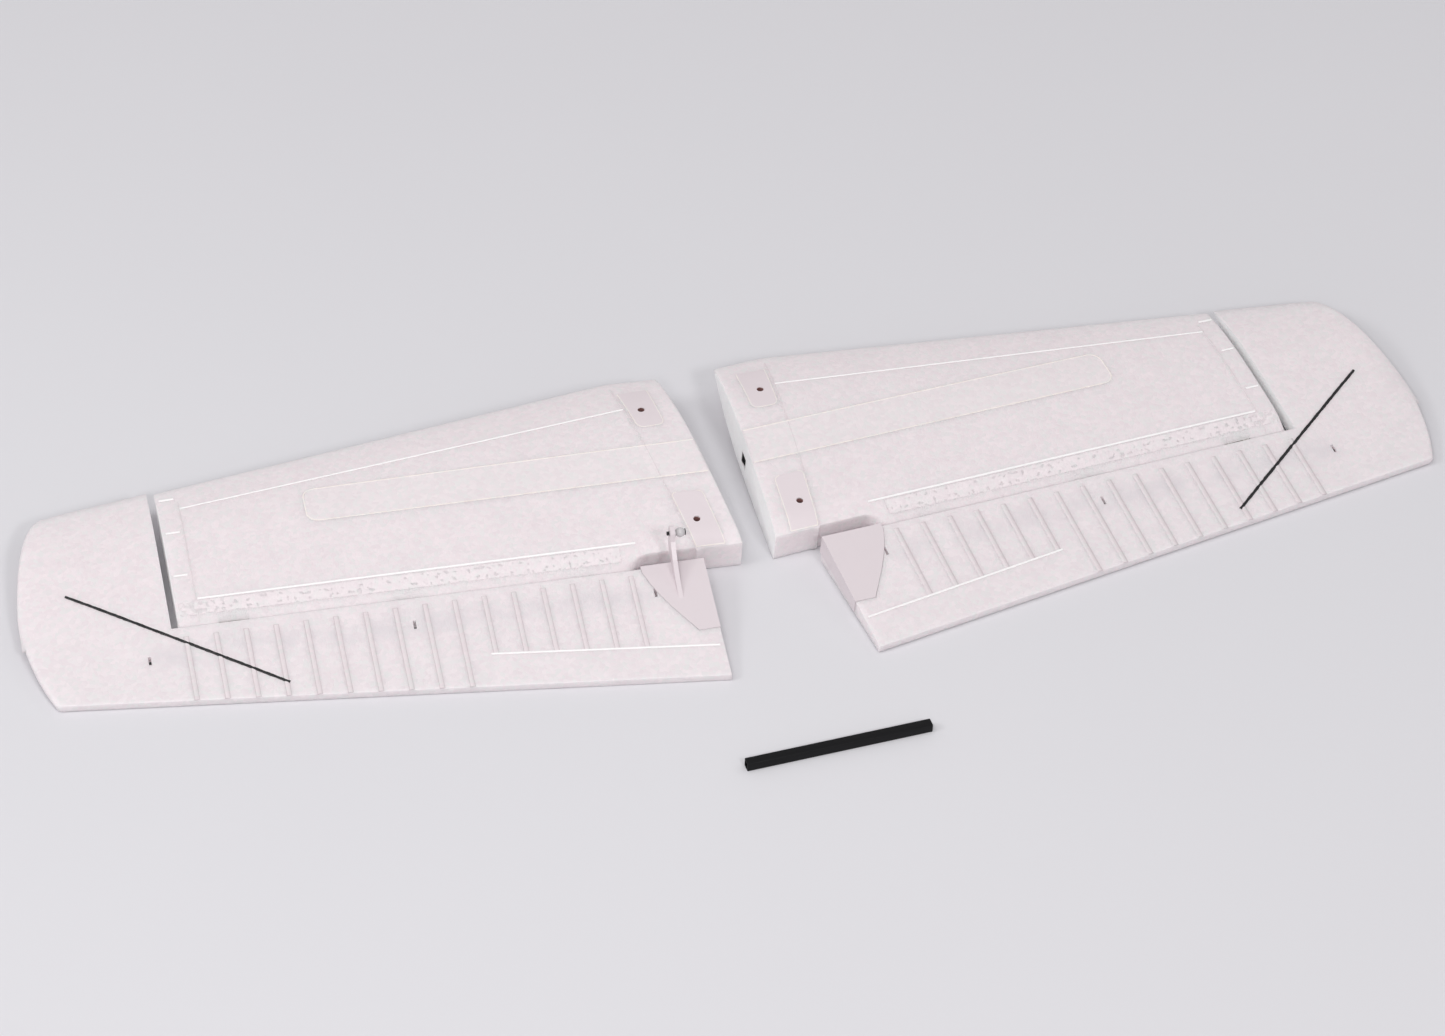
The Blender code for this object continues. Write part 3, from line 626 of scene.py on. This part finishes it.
def stab_ring(u_base, slant, rear, rounded, le_cut=0.0, inset=0.0):
    """One section: top forward, round the leading edge, bottom back, then the rear."""
    def u_at(v):
        return u_base + ROOT_SLANT * (v - BLOCK_REAR) * slant

    front = le_v(u_base + 10.0 * slant) - le_cut - inset
    start = rear + (0.0 if rounded else EDGE_R) + inset
    top_pts = []
    low_pts = []
    for k in range(TOP_COUNT):
        f = math.sin(0.5 * math.pi * k / TOP_COUNT) if k > TOP_COUNT // 3 else None
        if f is None:
            edge = math.sin(0.5 * math.pi * (TOP_COUNT // 3 + 1) / TOP_COUNT)
            f = edge * k / (TOP_COUNT // 3 + 1)
        v = start + (front - start) * f
        u = u_at(v)
        seen_v = v + (le_cut + inset) * f
        top_pts.append((u, v, stab_top(u, seen_v) - inset * (1.0 - f ** 6)))
        low_pts.append((u, v, stab_bottom(u, seen_v, rounded) + inset * (1.0 - f ** 6)))
    ring = top_pts + [(u_at(front), front, 0.0)] + low_pts[::-1]
    count = len(NOSE_VS)
    top_w = top_pts[0][2]
    low_w = low_pts[0][2]
    for k in range(count - 2, 0, -1):
        if rounded:
            v = NOSE_VS[k]
            apex = count // 2
            if k == apex:
                w = 0.0
            elif k > apex:
                w = stab_bottom(u_at(v), v) + inset
            else:
                w = stab_top(u_at(v), v) - inset
            ring.append((u_at(v), v + inset, w if abs(w) > inset else 0.0))
        else:
            if k == 1:
                v, w = rear + 0.29 * EDGE_R, top_w - 0.29 * EDGE_R
            elif k == count - 2:
                v, w = rear + 0.29 * EDGE_R, low_w + 0.29 * EDGE_R
            else:
                f = (k - 2) / (count - 5)
                w = (top_w - EDGE_R) + (low_w - top_w + 2.0 * EDGE_R) * f
                v = rear
            ring.append((u_at(v + inset), v + inset, w))
    return ring


def stabiliser_skin(half):
    rings = [
        stab_ring(0.0, 1.0, BLOCK_REAR, False, 3.2, 0.5),
        stab_ring(0.1, 0.995, BLOCK_REAR, False, 2.6, 0.2),
        stab_ring(0.35, 0.985, BLOCK_REAR, False, 2.2, 0.05),
        stab_ring(0.8, 0.97, BLOCK_REAR, False, 1.5),
        stab_ring(1.6, 0.92, BLOCK_REAR, False, 0.8),
        stab_ring(3.0, 0.85, BLOCK_REAR, False, 0.3),
        stab_ring(5.0, 0.75, BLOCK_REAR, False, 0.08),
        stab_ring(8.0, 0.60, BLOCK_REAR, False),
        stab_ring(11.0, 0.46, BLOCK_REAR, False),
        stab_ring(14.0, 0.31, BLOCK_REAR, False),
        stab_ring(17.0, 0.17, BLOCK_REAR, False),
        stab_ring(20.2, 0.02, BLOCK_REAR - 0.6, False),
        stab_ring(NOTCH_IN, 0.0, BLOCK_REAR - 0.3, False),
        stab_ring(NOTCH_IN + 0.4, 0.0, NOTCH_REAR, False),
    ]
    for u in spread(24.0, 37.0, 3.0):
        rings.append(stab_ring(u, 0.0, NOTCH_REAR, False))
    rings.append(stab_ring(CUFF_U - 0.5, 0.0, NOTCH_REAR, False, 0.05))
    rings.append(stab_ring(CUFF_U + 0.5, 0.0, NOTCH_REAR, False, 0.05))
    # outboard of the horn the recess runs out in a soft curve
    for k in range(13):
        u = 41.5 + 11.5 * k / 12
        share = (k / 12) ** 2 * (3.0 - 2.0 * k / 12)
        cut_back = stab_ring(u, 0.0, NOTCH_REAR, False)
        rounded = stab_ring(u, 0.0, 8.0, True)
        rings.append([tuple(Vector(a).lerp(Vector(b), share)) for a, b in zip(cut_back, rounded)])
    for u in spread(56.0, STAB_TIP_U - 1.8, 4.0):
        rings.append(stab_ring(u, 0.0, 8.0, True))
    rings.append(stab_ring(STAB_TIP_U - 0.9, 0.0, 8.0, True, 0.0, 0.12))
    rings.append(stab_ring(STAB_TIP_U - 0.3, 0.0, 8.0, True, 0.0, 0.4))
    rings.append(stab_ring(STAB_TIP_U, 0.0, 8.0, True, 0.0, 0.9))
    skin = add_object(loft(rings), half.name + "_stabiliser_skin", foam, half)
    tools = [
        tool(box(-6.0, 51.25, SOCKET_V - 3.1, SOCKET_V + 3.1, SOCKET_W - 3.1, SOCKET_W + 3.1), half),
    ]
    for u, v in PLATE_HOLES.values():
        top = stab_top(u, v)
        tools.append(tool(rod((u, v, top - 9.0), (u, v, top + 5.0), HOLE_R, 28), half))
    outline = (
        (-2.0, -1.8), (2.25, -1.8), (2.25, -0.75), (15.3, -0.75), (15.3, 0.75), (2.25, 0.75), (2.25, 1.8), (-2.0, 1.8),
    )
    recess = bmesh.new()
    for at in HINGE_US:
        join(recess, prism(outline, at - 6.3, at + 6.3))
    tools.append(tool(recess, half))
    cut(skin, tools)
    # painted light: the root face and the tip face get a lighter, more neutral foam colour than the rest of the skin,
    # so they read brighter
    skin.data.materials.append(painted_light_foam)
    for face in skin.data.polygons:
        along = (face.center - half.origin).dot(half.u) / MM
        if along < 16.0 and face.normal.dot(half.u) < -0.75:
            face.material_index = 1
        if along > STAB_TIP_U - 1.0 and face.normal.dot(half.u) > 0.75:
            face.material_index = 1
    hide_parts(half.name + "_stabiliser_foam")
    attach(skin, half.body)


def stabiliser_trim(half):
    """Plates, strip, raised lines, the pads along the tip edge and the pebbled band before the shoulder."""
    front = rounded_edges(((23.0, 107.6), (19.9, 81.4)), ((36.2, 106.6), (31.7, 80.8)), (0.6, 3.0))
    rear = rounded_edges(((12.0, 38.8), (7.7, 9.0)), ((25.6, 39.4), (20.3, 9.0)), (2.4, 0.4))
    for name, rows in (("front", front), ("rear", rear)):
        plate = add_object(
            pad(rows, 8, stab_top, 0.10, 0.8, 0.12), f"{half.name}_{name}_plate_skin", plate_plastic, half
        )
        u, v = PLATE_HOLES[name]
        top = stab_top(u, v)
        cut(plate, [tool(rod((u, v, top - 4.0), (u, v, top + 4.0), HOLE_R, 28), half)])
        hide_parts(f"{half.name}_{name}_root_plate")
        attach(plate, half.body)

    rows = rounded_edges(((9.9, 69.0), (181.5, 69.0)), ((7.0, 49.5), (182.5, 49.5)), (0.0, 5.0))
    strip = add_object(pad(rows, 10, stab_top, 0.05, 0.8, 0.05), half.name + "_cover_strip_skin", strip_foam, half)
    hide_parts(half.name + "_spar_cover_strip")
    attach(strip, half.body)

    # the raised panel lines and tip pad lines are coloured near white, a painted highlight
    lines = bmesh.new()
    bead(lines, (36.0, 94.5), (235.2, 68.0), 0.8, 0.34, stab_top)
    bead(lines, (46.0, 14.1), (235.0, 14.0), 0.9, 0.38, stab_top)
    bead(lines, (237.0, 75.4), (243.4, 75.3), 1.2, 0.5, stab_top)
    bead(lines, (237.2, 53.0), (243.2, 53.0), 0.9, 0.45, stab_top)
    bead(lines, (237.2, 27.9), (243.2, 27.9), 0.9, 0.4, stab_top)
    raised = add_object(lines, half.name + "_panel_ridges", ridge_highlight_foam, half)
    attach(raised, half.body)

    seams = bmesh.new()
    bead(seams, (20.9, 8.8), (38.6, 111.5), 0.5, 0.16, stab_top)
    bead(seams, (235.5, 73.0), (235.5, 3.4), 0.5, 0.14, stab_top)
    seam = add_object(seams, half.name + "_seam_ridges", rib_foam, half)
    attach(seam, half.body)

    glue = bmesh.new()
    bend = [(182.2 - 5.0 + 5.0 * math.sin(a), 64.0 + 5.0 * math.cos(a)) for a in spread(0.0, 0.5 * math.pi, 0.3)]
    back = [(u, 118.5 - v) for u, v in reversed(bend)]
    trail(glue, [(9.9, 69.0)] + bend + back + [(7.0, 49.5)], 0.7, 0.2, stab_top, 3.0)
    for rows in (front, rear):
        loop = [a for a, b in rows] + [b for a, b in reversed(rows)]
        trail(glue, loop, 0.5, 0.14, stab_top, 3.0)
    glue_line = add_object(glue, half.name + "_glue_lines", seam_foam, half)
    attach(glue_line, half.body)

    # painted shade: a dark red-brown tube lines each screw hole's wall below the plate top, darkening the hole
    hole_shade_bm = bmesh.new()
    for u, v in PLATE_HOLES.values():
        top = stab_top(u, v)
        circle = [(math.cos(math.tau * k / 24), math.sin(math.tau * k / 24)) for k in range(24)]
        levels = ((1.5, -8.6), (1.5, -0.35), (1.36, -0.35), (1.36, -8.2))
        rings = [[(u + r * x, v + r * y, top + w) for x, y in circle] for r, w in levels]
        join(hole_shade_bm, loft(rings))
    hole_shade_obj = add_object(hole_shade_bm, half.name + "_hole_painted_shade_tubes", hole_painted_shade, half)
    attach(hole_shade_obj, half.body)

    def pebbled(u, v):
        depth = noise.noise(Vector((u * 0.55, v * 0.55, 3.0))) + 0.6 * noise.noise(Vector((u * 1.3, v * 1.3, 8.0)))
        lively = 0.2 + 0.35 * min(max((u - 222.0) / 12.0, 0.0), 1.0)
        return stab_top(u, v) + lively * depth

    rows = rounded_edges(((53.5, 6.4), (243.3, 6.4)), ((53.5, 12.8), (243.3, 12.8)), (0.8, 0.8))
    dense = []
    for (a0, b0), (a1, b1) in zip(rows, rows[1:]):
        parts = max(1, int((a1 - a0).length / 0.8))
        for k in range(parts):
            dense.append((a0 + (a1 - a0) * (k / parts), b0 + (b1 - b0) * (k / parts)))
    dense.append(rows[-1])
    band = add_object(pad(dense, 9, pebbled, 0.04, 0.8), half.name + "_pebbled_band", band_foam, half, angle=60.0)
    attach(band, half.body)


# ------------------------------------------------------------------ elevator

FLAP_TOP_COUNT = 18
FORE_COUNT = 24


def elev_ring(u, full, inset=0.0):
    rear = tip_rear_v(u) + inset
    front_v = tip_front_v(u) - inset
    top_pts = []
    low_pts = []
    for k in range(FLAP_TOP_COUNT + 1):
        f = k / FLAP_TOP_COUNT
        crowd = min(max((u - 288.0) / 8.0, 0.0), 1.0)
        f += crowd * (math.sin(0.5 * math.pi * f) - f)
        v = ELEV_FACE - 0.7 + (rear + 0.35 - ELEV_FACE + 0.7) * f
        half_t = elev_half(u, v) * max(0.3, rounded_tip(u, v)) - inset
        top_pts.append((u, v, half_t))
        low_pts.append((u, v, -half_t))
    te_half = elev_half(u, rear) * max(0.25, rounded_tip(u, rear)) - inset
    edge = min(0.35, te_half * 0.5)
    te_pts = [(u, rear, te_half - edge), (u, rear, 0.0), (u, rear, edge - te_half)]
    ring = top_pts + te_pts + low_pts[::-1]
    if full:
        fore_top = []
        fore_low = []
        for k in range(1, FORE_COUNT):
            f = math.sin(0.5 * math.pi * k / FORE_COUNT)
            v = ELEV_FACE + (front_v - ELEV_FACE) * f
            reach = min((front_v - v) / 5.0, 1.0)
            blunt = 1.0 if u <= 290.0 else math.sqrt(max(0.0, 1.0 - (1.0 - reach) ** 2))
            w = max(0.06, elev_half(u, v + inset * f) * blunt - inset * (1.0 - f ** 6))
            fore_top.append((u, v, w))
            fore_low.append((u, v, -w))
        return ring + fore_low + [(u, front_v, 0.0)] + fore_top[::-1]
    top_w = top_pts[0][2]
    steps = 2 * FORE_COUNT - 1
    for k in range(steps):
        f = (k + 0.5) / steps
        w = -(top_w - 0.05) * math.cos(math.pi * f)
        corner = max(0.0, abs(w) - (top_w - 0.7)) / 0.7
        ring.append((u, ELEV_FACE - 0.7 * (1.0 - math.sqrt(max(0.0, 1.0 - corner * corner))), w))
    return ring


def elevator_skin(half):
    rings = [elev_ring(18.9, False, 0.35), elev_ring(19.0, False, 0.1), elev_ring(19.3, False)]
    for u in spread(22.0, 244.0, 4.5):
        rings.append(elev_ring(u, False))
    rings.append(elev_ring(HORN_U, False))
    rings.append(elev_ring(HORN_U, True, 0.0))
    for u in spread(HORN_U + 3.0, 287.0, 3.5):
        rings.append(elev_ring(u, True))
    for u in spread(290.0, 300.0, 1.25):
        rings.append(elev_ring(u, True))
    for k in range(1, 15):
        rings.append(elev_ring(300.0 + 10.95 * math.sin(0.5 * math.pi * k / 14), True))
    bm = loft(rings)
    tinge = bm.verts.layers.float.new("tinge")
    for vert in bm.verts:
        u, v, w = vert.co
        off = abs(v - (-14.0 - (u - 42.0) * 0.011))
        run = min(max((u - 40.0) / 8.0, 0.0), max((264.0 - u) / 8.0, 0.0), 1.0)
        vert[tinge] = max(0.0, 1.0 - off / 8.5) * run if w > 0.0 else 0.0
    skin = add_object(bm, half.name + "_elevator_skin", flap_foam, half, moving=True)

    tools = []
    for u, v in ROD_SLOTS:
        top = elev_half(u, v)
        tools.append(tool(box(u - 0.6, u + 0.6, v - 2.2, v + 2.2, top - 2.6, top + 3.0), half, True))
    outline = (
        (3.0, -2.2), (-1.3, -2.2), (-1.3, -0.75), (-13.3, -0.75), (-13.3, 0.75), (-1.3, 0.75), (-1.3, 2.2), (3.0, 2.2),
    )
    recess = bmesh.new()
    for at in HINGE_US:
        join(recess, prism(outline, at - 6.3, at + 6.3))
    tools.append(tool(recess, half, True))
    tools.append(tool(cap_pocket(), half, True))
    tools.append(tool(box(15.0, 20.0, -36.12, 4.0, -2.75, 15.0), half, True))
    cut(skin, tools)
    # painted light: the inboard wall of the horn balance gets the same lighter foam colour, to brighten it inside its
    # narrow gap
    skin.data.materials.append(painted_light_foam)
    for face in skin.data.polygons:
        along = (face.center - half.origin).dot(half.u) / MM
        if HORN_U - 2.0 < along < HORN_U + 2.0 and face.normal.dot(half.u) < -0.6:
            face.material_index = 1
    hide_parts(half.name + "_elevator_foam")
    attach(skin, half.flap)


CAP_OUTER = ((46.4, 0.9), (46.3, -2.4), (43.9, -9.0), (40.6, -16.0), (36.6, -23.0), (32.2, -29.8), (28.0, -36.3))
CAP_VS = (1.2, -0.5, -7.5, -15.0, -22.0, -29.0, -36.0)


def cap_pocket():
    """The space the root cap takes up in the elevator's top."""
    rows = [(Vector((15.0, v)), Vector((u_out + 0.12, v_out))) for v, (u_out, v_out) in zip(CAP_VS, CAP_OUTER)]
    rows[0] = (Vector((15.0, 4.0)), Vector((46.52, 4.0)))
    rows[-1] = (Vector((15.0, -36.12)), Vector((28.1, -36.42)))
    bm = bmesh.new()
    across = 6
    grid = []
    for pa, pb in rows:
        line = []
        for k in range(across + 1):
            at = pa + (pb - pa) * (k / across)
            top = elev_half(at.x, min(at.y, -0.01))
            line.append((bm.verts.new((at.x, at.y, top + 5.0)), bm.verts.new((at.x, at.y, top - 1.4))))
        grid.append(line)
    for i in range(len(grid) - 1):
        for k in range(across):
            for layer in (0, 1):
                bm.faces.new((
                    grid[i][k][layer], grid[i][k + 1][layer], grid[i + 1][k + 1][layer], grid[i + 1][k][layer],
                ))
    rim = [grid[0][k] for k in range(across + 1)]
    rim += [grid[i][across] for i in range(1, len(grid))]
    rim += [grid[-1][k] for k in range(across - 1, -1, -1)]
    rim += [grid[i][0] for i in range(len(grid) - 2, 0, -1)]
    for i, here in enumerate(rim):
        there = rim[(i + 1) % len(rim)]
        bm.faces.new((here[0], there[0], there[1], here[1]))
    return bm


RIB_FIRST_U = 51.4
RIB_STEP = 12.74
RIB_COUNT = 16
TRIM_OUT = (117.2, -35.3)
TRIM_IN = (20.8, -45.4)


def elevator_trim(half):
    # each rib sits on a wider, lower, darker bar that shows as a painted shadow line along its sides; on the right
    # half that bar is shifted outboard, so the painted shadow falls on one side
    ribs = bmesh.new()
    rib_shadows = bmesh.new()
    shadow_shift = 0.35 if half.side > 0 else 0.0
    for k in range(RIB_COUNT):
        u = RIB_FIRST_U + RIB_STEP * k
        start_v = -3.8 - 2.3 * k / (RIB_COUNT - 1)
        share = (u - TRIM_IN[0]) / (TRIM_OUT[0] - TRIM_IN[0])
        end_v = TRIM_IN[1] + share * (TRIM_OUT[1] - TRIM_IN[1]) + 0.3 if k < 6 else te_v(u) + 0.15
        bead(ribs, (u, start_v), (u, end_v), 1.75, 0.22, elev_half)
        bead(rib_shadows, (u + shadow_shift, start_v + 0.3), (u + shadow_shift, end_v - 0.05), 2.35, 0.05, elev_half)
    shadow_obj = add_object(rib_shadows, half.name + "_rib_painted_shadows", rib_shadow_foam, half, True)
    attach(shadow_obj, half.flap)
    rib_obj = add_object(ribs, half.name + "_ribs", rib_foam, half, True)
    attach(rib_obj, half.flap)

    # the trim ridge is coloured near white, a painted highlight
    trim = bmesh.new()
    bead(trim, TRIM_IN, TRIM_OUT, 0.9, 0.4, elev_half)
    line = add_object(trim, half.name + "_trim_ridge", ridge_highlight_foam, half, True)
    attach(line, half.flap)

    # the brace strip: a frayed carbon tow pressed into the skin
    start = Vector((289.8, 24.0))
    end = Vector((203.0, -37.0))
    rng = random.Random(7)
    count = 90
    aside = (end - start).normalized().orthogonal()
    rings = []
    for i in range(count + 1):
        centre = start + (end - start) * (i / count)
        left = 0.68 + rng.uniform(-0.1, 0.1)
        right = 0.68 + rng.uniform(-0.1, 0.1)
        tall = 0.34 + rng.uniform(-0.07, 0.07)
        ring = []
        for across, rise in ((-left, -0.5), (-left, 0.1), (-0.6 * left, tall), (0.0, tall * 1.1), (0.6 * right, tall),
                             (right, 0.1), (right, -0.5)):
            at = centre + aside * across
            ring.append((at.x, at.y, elev_half(at.x, at.y) + rise))
        rings.append(ring)
    brace = add_object(loft(rings), half.name + "_brace_tow", brace_carbon, half, True)
    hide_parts(half.name + "_brace_strip")
    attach(brace, half.flap)


# ------------------------------------------------------------------ carried-over CAD nodes

def dress_nodes():
    by_word = (
        ("root_cap", cap_plastic), ("leaf", nylon), ("pin", steel), ("ball_stud", steel), ("rod", carbon),
        ("spar", carbon), ("sleeve", carbon), ("joiner", tube_carbon), ("brace", carbon), ("plate", plate_plastic),
    )
    for name, obj in frame["nodes"].items():
        for word, material in by_word:
            if word in name:
                obj.data.materials.clear()
                obj.data.materials.append(material)
                break


BALL_AT = (28.7, 6.0, 19.6)
BALL_R = 2.15


def ball_stud(half):
    """Polished ball on a waisted neck, with a dark flat end inboard and a dark threaded end outboard."""
    u, v, w = BALL_AT
    profile = [(26.3, 0.0, 1), (26.3, 1.35, 1), (26.75, 1.45, 1)]
    for k in range(9):
        angle = math.radians(148.0 - 122.0 * k / 8)
        profile.append((u + BALL_R * math.cos(angle), BALL_R * math.sin(angle), 0))
    profile += [(30.75, 0.95, 0), (30.75, 1.7, 0), (31.2, 1.7, 0), (31.2, 0.95, 0), (33.4, 0.95, 1)]
    for k in range(4):
        profile += [(33.5 + 0.28 * k, 0.95, 1), (33.64 + 0.28 * k, 0.8, 1)]
    profile += [(34.6, 0.0, 1)]
    bm = bmesh.new()
    sides = 32
    rows = []
    for along, radius, dark in profile:
        if radius == 0.0:
            rows.append([bm.verts.new((along, v, w))])
        else:
            rows.append([
                bm.verts.new((
                    along, v + radius * math.cos(math.tau * k / sides), w + radius * math.sin(math.tau * k / sides),
                ))
                for k in range(sides)
            ])
    for i, (a, b) in enumerate(zip(rows, rows[1:])):
        for k in range(sides):
            j = (k + 1) % sides
            corners = []
            for vert in (a[k % len(a)], a[j % len(a)], b[j % len(b)], b[k % len(b)]):
                if vert not in corners:
                    corners.append(vert)
            face = bm.faces.new(corners)
            face.material_index = 1 if profile[i][2] and profile[i + 1][2] else 0
    obj = add_object(bm, half.name + "_ball_stud_turned", ball_steel, half, True)
    obj.data.materials.append(stud_dark)
    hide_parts(half.name + "_ball_stud")
    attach(obj, half.flap)


def softened(name, new_name, material, width, body):
    """A CAD piece with its sharp edges eased."""
    node_obj = frame["nodes"][name]
    bm = bmesh.new()
    bm.from_mesh(node_obj.data)
    bm.transform(node_obj.matrix_world)
    bmesh.ops.remove_doubles(bm, verts=bm.verts[:], dist=1e-6)
    bmesh.ops.dissolve_limit(bm, angle_limit=math.radians(1.0), verts=bm.verts[:], edges=bm.edges[:])
    sharp = [edge for edge in bm.edges if len(edge.link_faces) == 2 and edge.calc_face_angle() > math.radians(35.0)]
    bmesh.ops.bevel(bm, geom=sharp, offset=width * MM, segments=2, affect="EDGES", profile=0.6, clamp_overlap=True)
    obj = add_object(bm, new_name, material)
    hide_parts(name)
    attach(obj, body)


# ------------------------------------------------------------------ stage, light and camera

def add_stage():
    bm = bmesh.new()
    bmesh.ops.create_grid(bm, x_segments=1, y_segments=1, size=6.0)
    mesh = bpy.data.meshes.new("table_top")
    bm.to_mesh(mesh)
    bm.free()
    mesh.materials.append(table)
    floor = bpy.data.objects.new("table_top", mesh)
    bpy.context.scene.collection.objects.link(floor)


def add_light(name, place, aim, size, power, colour=(1.0, 1.0, 1.0)):
    data = bpy.data.lights.new(name, "AREA")
    data.shape = "RECTANGLE"
    data.size, data.size_y = size
    data.energy = power
    data.color = colour
    obj = bpy.data.objects.new(name, data)
    bpy.context.scene.collection.objects.link(obj)
    obj.location = place
    obj.rotation_euler = (Vector(aim) - Vector(place)).to_track_quat("-Z", "Y").to_euler()


def add_lights():
    world = bpy.data.worlds.new("studio")
    bpy.context.scene.world = world
    world.use_nodes = True
    background = world.node_tree.nodes["Background"]
    background.inputs["Color"].default_value = (1.0, 0.985, 1.0, 1.0)
    background.inputs["Strength"].default_value = 0.46
    add_light("left_softbox", (-2.2, -0.2, 1.7), (0.0, 0.0, 0.0), (0.8, 0.6), 13.5)
    add_light("right_softbox", (1.5, 0.1, 1.25), (0.0, 0.0, 0.0), (0.9, 0.7), 2.0)
    add_light("front_left_softbox", (-1.17, -2.27, 2.15), (0.0, 0.0, 0.0), (0.5, 0.5), 16.5)
    add_light("front_right_softbox", (0.48, -2.50, 2.15), (0.0, 0.0, 0.0), (0.5, 0.5), 21.0)
    add_light("overhead_softbox", (-0.55, -0.15, 1.45), (0.0, 0.0, 0.0), (0.9, 0.9), 5.0)


def add_camera():
    turn = math.radians(CAMERA_TURN)
    rise = math.radians(CAMERA_RISE)
    roll = math.radians(CAMERA_ROLL)
    look = Vector((math.cos(rise) * math.sin(turn), math.cos(rise) * math.cos(turn), -math.sin(rise)))
    level = Vector((math.cos(turn), -math.sin(turn), 0.0))
    up = level.cross(look)
    side = level * math.cos(roll) + up * math.sin(roll)
    top = up * math.cos(roll) - level * math.sin(roll)
    data = bpy.data.cameras.new("photo_camera")
    data.sensor_width = 36.0
    data.lens = CAMERA_LENS
    data.clip_end = 30.0
    camera = bpy.data.objects.new("photo_camera", data)
    bpy.context.scene.collection.objects.link(camera)
    place = CAMERA_AIM - look * CAMERA_DISTANCE
    camera.matrix_world = Matrix((
        (side.x, top.x, -look.x, place.x),
        (side.y, top.y, -look.y, place.y),
        (side.z, top.z, -look.z, place.z),
        (0.0, 0.0, 0.0, 1.0),
    ))
    bpy.context.scene.camera = camera


def main():
    for name, side in (("right", 1.0), ("left", -1.0)):
        half = Half(name, side)
        stabiliser_skin(half)
        stabiliser_trim(half)
        elevator_skin(half)
        elevator_trim(half)
        if name == "left":
            ball_stud(half)
    softened("joiner_tube", "joiner_tube_eased", tube_carbon, 0.3, "joiner")
    dress_nodes()
    add_stage()
    add_lights()
    add_camera()
    bpy.context.scene.view_settings.view_transform = "Standard"


main()
